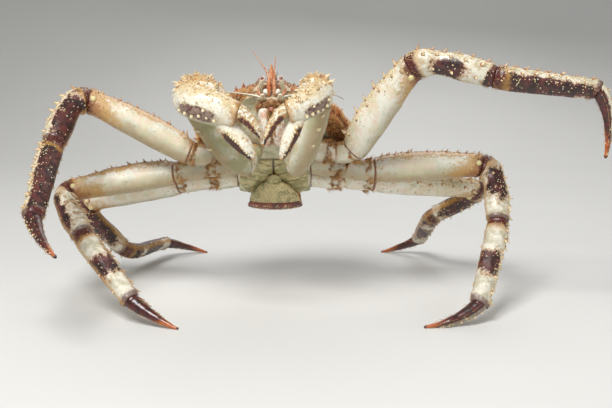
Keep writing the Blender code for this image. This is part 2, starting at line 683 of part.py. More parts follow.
def build_eye(side):
    sign = SIGN[side]
    root, end = (sign * 0.0145, HEAD_WALL, 0.0318), (sign * 0.0112, 0.1120, 0.0405)
    stalk = body_tube(root, end, (0, 1, 0), (sign * -0.35, 0.6, 1), STALK,
                      start_plane=body_direction(0, 1, 0))
    stalk.build(f"eyestalk_{side}", materials["shell_pale"], spread(0, 1, 6), 8)
    way = stalk.tangent(1.0)
    sit = body_point(*end) + way * GAP
    bm = bmesh.new()
    bmesh.ops.create_uvsphere(bm, u_segments=12, v_segments=8, radius=EYE_RADIUS)
    for vert in bm.verts:
        vert.co = vert.co + sit + way * EYE_RADIUS * 0.6
    eye = object_from(bm, f"eye_{side}", materials["eye"])
    trim(eye, sit, way)


def build_feelers(side):
    """The short inner feeler beside the rostrum and the long outer one behind the claw."""
    sign = SIGN[side]
    stem = body_tube((sign * 0.0036, HEAD_WALL, 0.0310), (sign * 0.0030, 0.1150, 0.0400),
                     (0, 1, 0), (0, 0.8, 1), FEELER_STEM, start_plane=body_direction(0, 1, 0))
    node = stem.build(f"antennule_{side}", materials["feeler"], spread(0, 1, 6), 8)
    way = stem.tangent(1.0)
    whip = Tube(stem.centre(1.0) - way * 0.002, FEELER_TIPS[side], way,
                Vector(FEELER_TIPS[side]) - stem.centre(1.0), (0, 1, 0), WHIP)
    pieces = [object_from(skin_rings(whip.rings(spread(0, 1, 6), 5)), "whip")]
    pieces.append(knob(body_point(sign * 0.0068, 0.1015, 0.0325), FEELER_KNOB))
    fuse(node, pieces)
    base = body_tube((sign * 0.0112, HEAD_WALL, 0.0232), (sign * 0.0104, 0.1075, 0.0240),
                     (0, 1, 0), (0, 1, 0.2), ((0.0, 0.0034, 0.0036), (0.5, 0.0044, 0.0044),
                                              (1.0, 0.0022, 0.0022)),
                     start_plane=body_direction(0, 1, 0))
    node = base.build(f"antenna_{side}", materials["shell_pale"], spread(0, 1, 5), 8)
    long_whip = body_tube((sign * 0.0112, 0.1030, 0.0225), (sign * 0.0860, 0.0600, 0.0580),
                          (sign * 1, 0.1, 0.3), (sign * 0.6, -1, 0.3),
                          ((0.0, 0.0017, 0.0017), (0.3, 0.0010, 0.0010), (1.0, 0.0004, 0.0004)))
    pieces = [object_from(skin_rings(long_whip.rings(spread(0, 1, 9), 5)), "whip")]
    for reach, rise in ((0.0175, 0.0375), (0.0205, 0.0310)):
        root = body_point(sign * 0.0125, 0.1045, 0.0240)
        end = body_point(sign * reach, 0.1100, rise)
        pieces.append(cone(root, (end - root).normalized(), (end - root).length, 0.0016))
    fuse(node, pieces)


JAW_FOOT = ((0.0, 0.0044, 0.0050), (0.4, 0.0048, 0.0074), (1.0, 0.0036, 0.0062))
JAW_PALP = ((0.0, 0.0034, 0.0038), (0.6, 0.0030, 0.0036), (1.0, 0.0008, 0.0010))


def build_jaw_foot(side):
    """The outer jaw foot, which runs forward under the mouth and folds back at its end."""
    sign = SIGN[side]
    foot = body_tube((sign * 0.0078, 0.0470, 0.0016), (sign * 0.0086, 0.1060, 0.0030),
                     (0, 0.35, -1), (0, 1, 0.45), JAW_FOOT, up=(0, 1, 0.35),
                     start_plane=body_direction(0, 0, -1), handles=(0.3, 0.3))
    node = foot.build(f"jaw_foot_{side}", materials["shell_pale"], spread(0, 1, 7), 8)
    palp = body_tube((sign * 0.0086, 0.1035, 0.0010), (sign * 0.0062, 0.0820, -0.0190),
                     (0, 0.5, -1), (0, -1, -0.3), JAW_PALP, up=(0, 1, 0))
    fuse(node, [object_from(skin_rings(palp.rings(spread(0, 1, 6), 8)), "palp")])


MOUTH_KNOBS = ((-0.0125, 0.0920), (-0.0065, 0.0935), (0.0065, 0.0935), (0.0125, 0.0920))


def build_mouthparts():
    """The small jaw feet, a soft brown cluster below the head."""
    rear, front = body_point(0, 0.072, 0.009), body_point(0, 0.097, 0.023)
    away = Vector((1, 0, 0)).cross(front - rear).normalized()
    middle = body_point(0, 0.0955, 0.0170)
    node = knob(middle, 0.0075, "mouthparts", materials["mouth"], detail=2)
    fuse(node, [knob(body_point(x, f, 0.0175), 0.0058) for x, f in MOUTH_KNOBS])
    trim(node, rear + away * 2 * GAP, away)


# The floor point below the middle of the whole, seen from the point below the breast
MIDDLE = (0.0577, 0.0061)


def main():
    build_carapace()
    build_thorax()
    build_sternum()
    build_abdomen()
    build_rostrum()
    build_mouthparts()
    for side in (RIGHT, LEFT):
        build_eye(side)
        build_feelers(side)
        build_jaw_foot(side)
        build_arm(side)
        for number in (1, 2, 3):
            build_leg(number, side)
    for obj in parts.objects:
        obj.location = (-MIDDLE[0], -MIDDLE[1], 0)


clear_scene()
materials = make_materials()
parts = bpy.data.collections.new("red_king_crab")
bpy.context.scene.collection.children.link(parts)
main()
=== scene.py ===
"""The looks of a red king crab that stands reared up on four of its walking legs.

Each shell plate is made again from the joints and sections of its solid, finer and with its
relief, and carries its own spines, warts and bristles. Points on the body are given as (x, f, d):
across, towards the head, towards the back. The crab faces -Y and its left side is +X.
"""

import itertools
import math
import random

import bpy
import numpy as np
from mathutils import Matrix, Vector


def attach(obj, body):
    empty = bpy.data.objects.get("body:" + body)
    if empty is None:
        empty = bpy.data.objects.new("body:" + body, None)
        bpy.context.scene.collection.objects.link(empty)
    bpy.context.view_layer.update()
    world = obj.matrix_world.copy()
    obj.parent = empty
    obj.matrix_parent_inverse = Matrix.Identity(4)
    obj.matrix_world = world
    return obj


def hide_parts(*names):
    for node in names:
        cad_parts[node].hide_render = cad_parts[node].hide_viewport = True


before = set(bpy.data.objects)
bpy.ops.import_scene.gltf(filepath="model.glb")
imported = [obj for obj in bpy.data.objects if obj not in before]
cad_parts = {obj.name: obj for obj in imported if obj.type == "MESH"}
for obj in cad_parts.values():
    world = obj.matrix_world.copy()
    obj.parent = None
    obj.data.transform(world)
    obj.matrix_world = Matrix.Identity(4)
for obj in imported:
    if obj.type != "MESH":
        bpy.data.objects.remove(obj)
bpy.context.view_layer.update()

RIGHT, LEFT = "right", "left"
SIGN = {RIGHT: -1.0, LEFT: 1.0}

# Driving sizes, in metres
GAP = 0.0003
CARAPACE_WIDTH = 0.192
CARAPACE_FRONT = 0.100
CARAPACE_REAR = -0.076
MARGIN_LEVEL = 0.036
CARAPACE_HEIGHT = 0.050
BREAST_HEIGHT = 0.167
PITCH = math.radians(45)
MIDLINE = 0.0038
FLANK = 0.046
LEG_GAUGE = (0.0195, 0.0195, 0.0180)
CLAW_GAUGE = {RIGHT: 0.0245, LEFT: 0.0205}
# The floor point below the middle of the whole, seen from the point below the breast
MIDDLE = (0.0577, 0.0061, 0.0)

SEED = 11

# Hip, knee, wrist, ankle and tip of each walking leg, seen from the floor point below the breast
LEG_JOINTS = {
    (1, RIGHT): ((-0.098, -0.015, 0.186), (-0.231, -0.030, 0.258), (-0.243, -0.090, 0.206),
                 (-0.241, -0.190, 0.139), (-0.205, -0.240, 0.108)),
    (1, LEFT): ((0.103, -0.015, 0.190), (0.172, -0.090, 0.303), (0.252, -0.105, 0.282),
                (0.368, -0.105, 0.267), (0.380, -0.107, 0.191)),
    (2, RIGHT): ((-0.120, 0.010, 0.158), (-0.268, 0.020, 0.131), (-0.227, -0.040, 0.089),
                 (-0.157, -0.110, 0.027), (-0.100, -0.135, 0.0002)),
    (2, LEFT): ((0.129, 0.010, 0.161), (0.281, 0.020, 0.166), (0.277, -0.035, 0.105),
                (0.243, -0.110, 0.022), (0.178, -0.130, 0.0012)),
    (3, RIGHT): ((-0.118, 0.040, 0.140), (-0.262, 0.095, 0.103), (-0.208, 0.105, 0.040),
                 (-0.165, 0.210, 0.024), (-0.108, 0.250, 0.0)),
    (3, LEFT): ((0.129, 0.040, 0.142), (0.282, 0.080, 0.125), (0.226, 0.130, 0.083),
                (0.213, 0.225, 0.026), (0.160, 0.252, 0.0002)),
}

# Hip, elbow, wrist, finger joint, and tips of finger and thumb of each claw arm, in the same way
ARM_JOINTS = {
    RIGHT: ((-0.029, -0.046, 0.175), (-0.090, -0.060, 0.252), (-0.090, -0.099, 0.258),
            (-0.031, -0.130, 0.240), (-0.005, -0.136, 0.215), (-0.014, -0.131, 0.192)),
    LEFT: ((0.0335, -0.046, 0.175), (0.060, -0.060, 0.248), (0.062, -0.097, 0.264),
           (0.024, -0.128, 0.243), (-0.003, -0.133, 0.207), (0.017, -0.129, 0.192)),
}

# Where each leg grows from the flank: distance forward and level
LEG_ROOTS = {1: (0.022, 0.009), 2: (-0.008, 0.009), 3: (-0.038, 0.010)}
# Where a claw arm grows from the underside: distance to the side, forward and level
ARM_ROOT = (0.025, 0.035, 0.0)

# The draw for the strong spines, in the order of the solids, and the draw for all small growths
draw = random.Random(SEED)
rng = np.random.default_rng(SEED)


def vec(values):
    return np.array(values, float)


def unit(values):
    return values / np.linalg.norm(values, axis=-1, keepdims=True)


def dot(a, b):
    return np.sum(a * b, axis=-1, keepdims=True)


def body_point(x, f, d):
    """Points of the body, which is pitched up about the breast plate."""
    x, f, d = np.broadcast_arrays(vec(x), vec(f), vec(d))
    depth = -f * math.cos(PITCH) + d * math.sin(PITCH)
    height = BREAST_HEIGHT + f * math.sin(PITCH) + d * math.cos(PITCH)
    return np.stack([MIDLINE + x, depth, height], axis=-1)


def body_direction(x, f, d):
    return unit(body_point(x, f, d) - body_point(0, 0, 0))


DORSAL = body_direction(0, 0, 1)
AHEAD = body_direction(0, 1, 0)


def blend(a, b, share):
    return unit(unit(vec(a)) * (1 - share) + unit(vec(b)) * share)


def table(rows, t, column):
    """The value in a column of (t, ...) rows at each t, eased between the rows."""
    spots = vec([row[0] for row in rows])
    values = vec([row[column] for row in rows])
    t = np.clip(t, spots[0], spots[-1])
    low = np.clip(np.searchsorted(spots, t, side="right") - 1, 0, len(spots) - 2)
    part = (t - spots[low]) / (spots[low + 1] - spots[low])
    share = (part + part * part * (3 - 2 * part)) / 2
    return values[low] + (values[low + 1] - values[low]) * share


def spread(low, high, count):
    return list(np.linspace(low, high, count)) if count > 1 else [(low + high) / 2]


# Large primes that scramble the numbers of the noise's cells
PRIMES = np.array((73856093, 19349663, 83492791), np.int64)
SCRAMBLE = 1274126177


def lumps(points, size, layer=0):
    """Smooth noise from -1 to 1 at each point, its bumps about a size apart."""
    place = points / size + 31.7 + layer * 17.3
    cell = np.floor(place).astype(np.int64)
    part = place - cell
    part = part * part * (3 - 2 * part)
    total = 0.0
    for corner in itertools.product((0, 1), repeat=3):
        key = (cell + corner) @ PRIMES
        key = (key ^ (key >> 13)) * SCRAMBLE
        value = ((key ^ (key >> 16)) & 0xFFFF) / 32767.5 - 1
        total = total + value * np.prod(np.where(corner, part, 1 - part), axis=-1)
    return total


class Tube:
    """A limb piece: an oval section carried along a curve, its ends cut to given planes."""

    def __init__(self, start, end, start_way, end_way, up, sizes, start_plane=None,
                 end_plane=None, handles=(0.3, 0.3), keel=0.0, ease=0.22):
        self.start, self.end = vec(start), vec(end)
        self.ease = ease
        self.span = np.linalg.norm(self.end - self.start)
        self.first = self.start + unit(vec(start_way)) * self.span * handles[0]
        self.last = self.end - unit(vec(end_way)) * self.span * handles[1]
        self.way = self.tangent(0.0)
        self.up = unit(vec(up) - self.way * dot(self.way, vec(up)))
        self.sizes = sizes
        self.start_plane = unit(self.way if start_plane is None else vec(start_plane))
        self.end_plane = unit(self.tangent(1.0) if end_plane is None else vec(end_plane))
        self.keel = keel

    def centre(self, t):
        t = vec(t)[..., None]
        s = 1 - t
        return (self.start * s**3 + self.first * 3 * s * s * t
                + self.last * 3 * s * t * t + self.end * t**3)

    def tangent(self, t):
        step = 0.01
        low, high = np.maximum(0, vec(t) - step), np.minimum(1, vec(t) + step)
        return unit(self.centre(high) - self.centre(low))

    def up_at(self, t):
        """The upper side, carried from the start by the shortest turn."""
        way = self.tangent(t)
        up = np.broadcast_to(self.up, way.shape)
        axis = np.cross(np.broadcast_to(self.way, way.shape), way)
        first = np.cross(axis, up)
        return up + first + np.cross(axis, first) / (1 + dot(self.way, way))

    def plane_at(self, t):
        t = vec(t)[..., None]
        near_start = np.maximum(0, 1 - t / self.ease)
        near_end = np.maximum(0, 1 - (1 - t) / self.ease)
        plane = self.tangent(t[..., 0]) * (1 - near_start - near_end)
        return unit(plane + self.start_plane * near_start + self.end_plane * near_end)

    def points(self, t, turn):
        """The surface at t along and at an angle from the upper edge, in degrees."""
        t, turn = np.broadcast_arrays(vec(t), vec(turn))
        way, up = self.tangent(t), self.up_at(t)
        side = np.cross(way, up)
        across, rise = np.sin(np.radians(turn)), np.cos(np.radians(turn))
        rise = rise + self.keel * np.maximum(0, rise) ** 6
        height, width = table(self.sizes, t, 1), table(self.sizes, t, 2)
        arm = up * (height * rise)[..., None] + side * (width * across)[..., None]
        plane = self.plane_at(t)
        arm = arm - way * (dot(arm, plane) / dot(way, plane))
        if len(self.sizes[0]) > 3:
            arm = arm + side * table(self.sizes, t, 3)[..., None]
        return self.centre(t) + arm

    def turn_of(self, t, way):
        """The angle from the upper edge at which the tube faces a way, in degrees."""
        up = self.up_at(t)
        side = np.cross(self.tangent(t), up)
        return math.degrees(math.atan2(float(dot(vec(way), side)[0]), float(dot(vec(way), up)[0])))


class Sheet:
    """A closed surface of rings, from t 0 to 1, that small growths are set on."""

    def __init__(self, grid):
        self.grid = grid
        self.out = self.normals(grid)

    @staticmethod
    def normals(grid):
        around = np.roll(grid, -1, axis=1) - np.roll(grid, 1, axis=1)
        along = np.gradient(grid, axis=0)
        out = unit(np.cross(around, along) + 1e-15)
        middle = grid.mean(axis=1, keepdims=True)
        return out if np.sum(out * (grid - middle)) > 0 else -out

    def look_up(self, values, t, turn):
        rows, columns = values.shape[:2]
        row = np.clip(t, 0, 1) * (rows - 1)
        column = np.mod(turn, 360) / 360 * columns
        low, left = np.minimum(row.astype(int), rows - 2), column.astype(int) % columns
        right = (left + 1) % columns
        down, over = (row - low)[..., None], (column - np.floor(column))[..., None]
        return ((values[low, left] * (1 - over) + values[low, right] * over) * (1 - down)
                + (values[low + 1, left] * (1 - over) + values[low + 1, right] * over) * down)

    def points(self, t, turn):
        return self.look_up(self.grid, vec(t), vec(turn))

    def outward(self, t, turn):
        return unit(self.look_up(self.out, vec(t), vec(turn)))

    def forward(self, t, turn):
        t = vec(t)
        return unit(self.points(np.minimum(t + 0.03, 1), turn)
                    - self.points(np.maximum(t - 0.03, 0), turn))


def raised(grid, lift):
    """A sheet that stands higher than a grid by the lift at each point."""
    return Sheet(grid + Sheet.normals(grid) * lift[..., None])


def sheet_from(tube, sides, step, relief, rim=0.07, soft=0.0011):
    """The finished surface of a tube: its sections, its relief and its rounded rims."""
    rows = max(10, round(tube.span / step))
    t = np.linspace(0, 1, rows)[:, None]
    turn = (np.arange(sides) * 360 / sides)[None, :]
    grid = tube.points(t, turn)
    grid = raised(grid, relief(t, turn, grid)).grid
    edge = np.minimum(t, 1 - t)[..., None] * tube.span
    middle = tube.centre(t[:, 0])[:, None]
    grid = middle + (grid - middle) * (1 - rim * np.exp(-edge / soft))
    return Sheet(grid)


class Heap:
    """The faces of one piece of the scene, gathered before its mesh is made."""

    def __init__(self, bands=1):
        self.points, self.faces, self.map = [], [], []
        self.marks = {"along": [], "ridge": [], "tip": [], "mark": [], "dorsal": []}
        self.count = 0
        self.bands = bands

    def add(self, points, faces, places, **marks):
        self.points.append(points)
        for group, place in zip(faces, places):
            self.faces.append(group + self.count)
            self.map.append(place)
        for name, store in self.marks.items():
            value = marks.get(name, 0.0)
            store.append(np.broadcast_to(np.asarray(value, float), (len(points),)))
        self.count += len(points)

    def shell(self, sheet, band=0, ridge=0.0, mark=None, tip=0.0):
        """A closed skin over a sheet, unrolled on its own band of the coat map."""
        rows, columns = sheet.grid.shape[:2]
        t = np.linspace(0, 1, rows)[:, None] * np.ones(columns)
        turn = (np.arange(columns) * 360 / columns)[None, :] * np.ones((rows, 1))
        ends = sheet.grid[[0, -1]].mean(axis=1)
        points = np.concatenate([sheet.grid.reshape(-1, 3), ends])
        r, c = np.meshgrid(np.arange(rows - 1), np.arange(columns), indexing="ij")
        r, c = r.ravel(), c.ravel()
        n = (c + 1) % columns
        quads = np.stack([r * columns + c, r * columns + n, (r + 1) * columns + n,
                          (r + 1) * columns + c], axis=1)
        left, right = c / columns, (c + 1) / columns
        low, high = self.level(r / (rows - 1), band), self.level((r + 1) / (rows - 1), band)
        places = np.stack([np.stack([left, low], 1), np.stack([right, low], 1),
                           np.stack([right, high], 1), np.stack([left, high], 1)], axis=1)
        c = np.arange(columns)
        n = (c + 1) % columns
        first = np.full(columns, rows * columns)
        cap = np.stack([n, c, first], axis=1)
        top = (rows - 1) * columns
        lid = np.stack([top + c, top + n, first + 1], axis=1)
        if self.flipped(sheet):
            quads, places = quads[:, ::-1], places[:, ::-1]
            cap, lid = cap[:, ::-1], lid[:, ::-1]
        flat = np.zeros((columns, 3, 2))
        along = np.append(t.ravel(), [0, 1])
        ridges = np.append(np.cos(np.radians(turn - ridge)).ravel(), [0, 0])
        marks = np.append(mark(t, turn).ravel(), [0, 0]) if mark else 0.0
        dorsal = np.append((sheet.out @ DORSAL).ravel(), [0, 0])
        self.add(points, [quads, cap, lid], [places, flat, flat],
                 along=along, ridge=ridges, mark=marks, dorsal=dorsal, tip=tip)

    def level(self, t, band):
        return (band + 0.01 + 0.98 * t) / self.bands

    @staticmethod
    def flipped(sheet):
        grid = sheet.grid
        face = np.cross(grid[1:, 1:] - grid[1:, :-1], grid[1:, :-1] - grid[:-1, :-1])
        return np.sum(face * sheet.out[1:, 1:]) < 0

    def grow(self, profile, sides, roots, ways, lengths, radii, bends, t, turn, band=0,
             dorsal=0.0):
        """Adds a small closed growth at each root: a profile turned about a way that bends."""
        count = len(roots)
        if count == 0:
            return
        spots = vec([row[0] for row in profile[:-1]])
        widths = vec([row[1] for row in profile[:-1]])
        lengths = np.broadcast_to(vec(lengths), (count,))[:, None, None]
        radii = np.broadcast_to(vec(radii), (count,))[:, None]
        aside = np.where(np.abs(ways[:, 2:]) < 0.9, vec((0, 0, 1)), vec((1, 0, 0)))
        aside = unit(np.cross(ways, aside))
        across = np.cross(ways, aside)
        angles = np.arange(sides) * 2 * math.pi / sides
        ring = (aside[:, None] * np.cos(angles)[None, :, None]
                + across[:, None] * np.sin(angles)[None, :, None])
        reach = spots[None, :, None]
        axis = roots[:, None] + lengths * (ways[:, None] * reach + bends[:, None] * reach**2)
        body = axis[:, :, None] + ring[:, None] * (radii * widths)[:, :, None, None]
        tips = roots[:, None] + lengths * (ways + bends)[:, None]
        rings, size = len(spots), len(spots) * sides + 1
        points = np.concatenate([body.reshape(count, -1, 3), tips], axis=1)
        i = np.arange(sides)
        j = (i + 1) % sides
        wall = np.concatenate([np.stack([k * sides + i, k * sides + j, (k + 1) * sides + j,
                                         (k + 1) * sides + i], 1) for k in range(rings - 1)])
        point = np.stack([(rings - 1) * sides + i, (rings - 1) * sides + j,
                          np.full(sides, size - 1)], 1)
        floor = i[::-1][None, :]
        shift = (np.arange(count) * size)[:, None, None]
        places = np.stack([np.mod(turn, 360) / 360, self.level(vec(t), band)], axis=-1)
        share = (1 - 0.9 * np.clip(spots, 0, 1))[:, None] * PATCH / 2
        disc = np.concatenate([np.stack([share * np.cos(angles), share * np.sin(angles)],
                                        axis=-1).reshape(-1, 2), np.zeros((1, 2))])
        corners = places[:, None] + disc[None]
        faces, maps = [], []
        for group in (wall, point):
            faces.append((group[None] + shift).reshape(-1, group.shape[1]))
            maps.append(corners[:, group].reshape(-1, group.shape[1], 2))
        faces.append((floor[None] + shift).reshape(-1, sides))
        maps.append(np.repeat(corners[:, :1], sides, axis=1))
        tip = np.append(np.repeat(np.clip(spots, 0, 1), sides), 1.0)
        along, upper = (np.repeat(np.broadcast_to(vec(values), (count,)), size)
                        for values in (t, dorsal))
        self.add(points.reshape(-1, 3), faces, maps, tip=np.tile(tip, count), along=along,
                 dorsal=upper)

    def make(self, name, look, slot, replaces=()):
        """The finished piece, which rides on the one body."""
        points = np.concatenate(self.points) - vec(MIDDLE)
        points[:, 2] = np.maximum(points[:, 2], 0.0)
        mesh = bpy.data.meshes.new(name)
        mesh.vertices.add(len(points))
        mesh.vertices.foreach_set("co", points.astype(np.float32).ravel())
        corners = np.concatenate([group.ravel() for group in self.faces]).astype(np.int32)
        sizes = np.concatenate([np.full(len(group), group.shape[1]) for group in self.faces])
        starts = np.concatenate([[0], np.cumsum(sizes)[:-1]]).astype(np.int32)
        mesh.loops.add(len(corners))
        mesh.loops.foreach_set("vertex_index", corners)
        mesh.polygons.add(len(sizes))
        mesh.polygons.foreach_set("loop_start", starts)
        coat = mesh.uv_layers.new(name="OFBake")
        places = np.concatenate([place.reshape(-1, 2) for place in self.map])
        coat.data.foreach_set("uv", places.astype(np.float32).ravel())
        for mark, values in self.marks.items():
            store = mesh.attributes.new(mark, "FLOAT", "POINT")
            store.data.foreach_set("value", np.concatenate(values).astype(np.float32))
        mesh.update(calc_edges=True)
        mesh.shade_smooth()
        mesh.materials.append(look)
        piece = bpy.data.objects.new(name, mesh)
        bpy.context.scene.collection.objects.link(piece)
        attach(piece, "root")
        if replaces:
            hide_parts(*replaces)
        return piece


# Width of the patch that a growth has on the coat map, as a share of the map
PATCH = 0.003

# Shapes of the small growths: distance from the root and width, as shares of length and radius
SPIKE = ((-0.12, 1.60), (0.02, 1.30), (0.16, 0.98), (0.40, 0.70), (0.70, 0.38), (0.92, 0.13),
         (1.0, 0.0))
GRAIN = ((-0.40, 1.10), (0.20, 0.85), (0.62, 0.42), (1.0, 0.0))
POINT = ((-0.25, 1.15), (0.05, 1.0), (0.38, 0.68), (0.74, 0.32), (1.0, 0.0))
TUBERCLE = ((-0.30, 1.35), (0.0, 1.12), (0.35, 0.90), (0.68, 0.60), (0.90, 0.28), (1.0, 0.0))
BRISTLE = ((-0.06, 1.0), (0.35, 0.85), (0.72, 0.50), (1.0, 0.0))

# Kinds of small growth: profile, length, radius, lean forward, sides and bend. Each is made in
# many sizes, which scale its length and radius, but a bristle keeps its radius.
LEG_THORN = (POINT, 0.0026, 0.0009, 0.4, 7, 0.1)
LEG_GRAIN = (GRAIN, 0.0010, 0.0008, 0.25, 5, 0.0)
CLAW_THORN = (POINT, 0.0028, 0.0011, 0.3, 8, 0.1)
CLAW_GRAIN = (GRAIN, 0.0010, 0.0008, 0.2, 6, 0.0)
CLAW_BRISTLE = (BRISTLE, 0.0030, 0.0002, 0.7, 3, 0.35)
BACK_THORN = (SPIKE, 0.0034, 0.0015, 0.25, 6, 0.1)
FRONT_THORN = (SPIKE, 0.0042, 0.0013, 0.9, 8, 0.1)
BACK_WART = (GRAIN, 0.0012, 0.0010, 0.0, 6, 0.0)
BACK_BRISTLE = (BRISTLE, 0.0050, 0.00026, 0.4, 3, 0.4)
FLANK_BRISTLE = (BRISTLE, 0.0052, 0.00024, 0.5, 3, 0.4)
TAIL_WART = (GRAIN, 0.0009, 0.0009, 0.0, 6, 0.0)
FEELER_THORN = (POINT, 0.0012, 0.0004, 0.5, 7, 0.1)
JAW_BRISTLE = (BRISTLE, 0.0010, 0.00018, 0.8, 3, 0.4)
MOUTH_BRISTLE = (BRISTLE, 0.0010, 0.0002, 0.3, 3, 0.5)

# Half height and half width along each walking-leg piece, as shares of the leg's gauge
MERUS = ((0.0, 0.78, 0.66), (0.12, 0.92, 0.76), (0.35, 1.0, 0.82), (0.6, 0.96, 0.78),
         (0.82, 0.82, 0.68), (1.0, 0.76, 0.64))
CARPUS = ((0.0, 0.80, 0.68), (0.16, 0.86, 0.72), (0.42, 0.68, 0.60), (0.78, 0.77, 0.66),
          (1.0, 0.66, 0.58))
PROPODUS = ((0.0, 0.66, 0.56), (0.2, 0.70, 0.58), (0.6, 0.66, 0.52), (1.0, 0.57, 0.46))
DACTYL = ((0.0, 0.50, 0.42), (0.2, 0.43, 0.36), (0.5, 0.29, 0.24), (0.8, 0.16, 0.14),
          (1.0, 0.065, 0.065))
COXA = ((0.0, 0.62, 0.62), (0.3, 0.72, 0.68), (0.5, 0.64, 0.60), (0.75, 0.72, 0.64),
        (1.0, 0.70, 0.60))
# How far the joint of a knee lies back from the knee itself
KNEE_SET = 0.0150

# The edge that carries the strong spines below the knee, in degrees from the upper edge
RIDGE = {(2, RIGHT): 165.0}
# Where the spines start along the merus, which is clear of the leg in front
MERUS_FIRST_SPINE = {1: 0.10, 2: 0.10, 3: 0.34}


def sized(rows, gauge):
    return tuple((row[0], *(value * gauge for value in row[1:])) for row in rows)


def between(first, last, ways, up, sizes, **more):
    """A limb piece from joint to joint, each a point and a plane, short of both by half a gap."""
    (start, start_plane), (end, end_plane) = first, last
    return Tube(start + start_plane * GAP / 2, end - end_plane * GAP / 2, *ways, up, sizes,
                start_plane, end_plane, **more)


def leg_tubes(number, side):
    """The five pieces of one walking leg, from its root on the flank to its tip."""
    sign, gauge = SIGN[side], LEG_GAUGE[number - 1]
    places = vec(LEG_JOINTS[number, side])
    hip, knee, wrist, ankle, tip = places
    thigh, shin, hand, toe = unit(np.diff(places, axis=0))
    out = vec((sign, 0, 0))
    ridge = -(shin - thigh * shin.dot(thigh))
    lean = unit(ridge) * 0.10
    hip_way, knee_way = blend(out, thigh, 0.6), blend(thigh, shin, 0.42)
    wrist_way, ankle_way = blend(shin, hand, 0.5), blend(hand, toe, 0.5)
    root_joint = body_point(sign * (FLANK + GAP / 2), *LEG_ROOTS[number]), out
    hip_joint = hip, unit(hip_way + thigh)
    knee_joint = knee - thigh * KNEE_SET, unit(thigh + knee_way)
    wrist_joint = wrist, unit(shin + wrist_way)
    ankle_plane = unit(hand + ankle_way)
    tubes = {"base": between(root_joint, hip_joint, (out, hip_way), ridge, sized(COXA, gauge)),
             "merus": between(hip_joint, knee_joint, (thigh + lean, thigh - lean), ridge,
                              sized(MERUS, gauge), keel=0.06)}
    tubes["carpus"] = between(knee_joint, wrist_joint, (knee_way, shin),
                              tubes["merus"].up_at(1.0), sized(CARPUS, gauge),
                              handles=(0.27, 0.50), keel=0.05)
    tubes["propodus"] = between(wrist_joint, (ankle, ankle_plane), (wrist_way, hand),
                                tubes["carpus"].up_at(1.0), sized(PROPODUS, gauge),
                                handles=(0.25, 0.45))
    tubes["dactyl"] = Tube(ankle + ankle_plane * GAP / 2, tip, ankle_way,
                           toe + (toe - hand) * 0.5, tubes["propodus"].up_at(1.0),
                           sized(DACTYL, gauge), ankle_plane)
    return tubes


def spine_row(spots, turn, length, radius, lean=0.35, wander=6.0):
    """Spines in a row at one turn from the upper edge: t, turn, lean, length and radius."""
    row = []
    for t in spots:
        around = turn + draw.uniform(-wander, wander)
        size = draw.uniform(0.75, 1.15)
        row.append((t, around, lean, length * size, radius * size))
    return row


def leg_spines(name, ridge, low):
    """The strong spines of one leg piece: a row on its ridge and weaker ones beside it."""
    first = 0.16 if ridge == 0 else 0.38
    if name == "merus":
        return (spine_row(spread(low, 0.90, 7), 0, 0.0085, 0.0026)
                + spine_row(spread(low + 0.06, 0.84, 5), 32, 0.0045, 0.0020)
                + spine_row(spread(low + 0.04, 0.88, 6), -32, 0.0050, 0.0021)
                + spine_row((0.93, 0.94), 55, 0.0060, 0.0023)
                + spine_row((0.93,), -58, 0.0060, 0.0023))
    if name == "carpus":
        return (spine_row(spread(first, 0.92, 6), ridge - 14, 0.0070, 0.0024)
                + spine_row(spread(first + 0.06, 0.88, 5), ridge + 26, 0.0058, 0.0022)
                + spine_row(spread(0.35, 0.85, 3), ridge + 95, 0.0035, 0.0018))
    if name == "propodus":
        return (spine_row(spread(0.10, 0.93, 8), ridge - 12, 0.0062, 0.0021, 0.8)
                + spine_row(spread(0.15, 0.88, 6), ridge + 26, 0.0048, 0.0019, 0.8)
                + spine_row(spread(0.2, 0.85, 4), ridge + 178, 0.0032, 0.0016, 0.8))
    if name == "dactyl":
        return spine_row(spread(0.10, 0.42, 4), ridge, 0.0036, 0.0015, 0.9)
    return spine_row((0.34, 0.46, 0.80), -20, 0.0045, 0.0018, 0.2)


def set_spines(heap, sheet, rows, band=0, profile=SPIKE):
    """Strong spines on a sheet, each with a flared root and a tip that hooks forward."""
    if not rows:
        return
    t, turn, lean, length, radius = (vec(column) for column in zip(*rows))
    forward, out = sheet.forward(t, turn), sheet.outward(t, turn)
    ways = unit(out + forward * lean[:, None])
    heap.grow(profile, 12, sheet.points(t, turn), ways, length, radius * 0.80,
              forward * 0.16 - ways * 0.02, t, turn, band, out @ DORSAL)


def set_small(heap, sheet, kind, t, turn, length, radius, lean, band=0, sides=6, bend=0.1,
              aside=0.0):
    """Warts, small spines or bristles on a sheet, at the given t and turn."""
    forward, out = sheet.forward(t, turn), sheet.outward(t, turn)
    count = len(t)
    stray = rng.normal(0, 0.14, (count, 3))
    around = np.cross(forward, out) * np.reshape(aside, (-1, 1))
    ways = unit(out + forward * lean + around + stray)
    bends = forward * bend + rng.normal(0, 0.5 * abs(bend), (count, 3))
    heap.grow(kind, sides, sheet.points(t, turn), ways, length, radius, bends, t, turn, band,
              out @ DORSAL)


def sow(heap, sheet, kind, places, sizes, band=0):
    """Small growths of one kind at the given t and turn, each of its own size."""
    profile, length, radius, lean, sides, bend = kind
    t, turn = places
    size = rng.uniform(*sizes, len(t))
    width = radius if profile is BRISTLE else radius * size
    set_small(heap, sheet, profile, t, turn, length * size, width, lean, band, sides, bend)


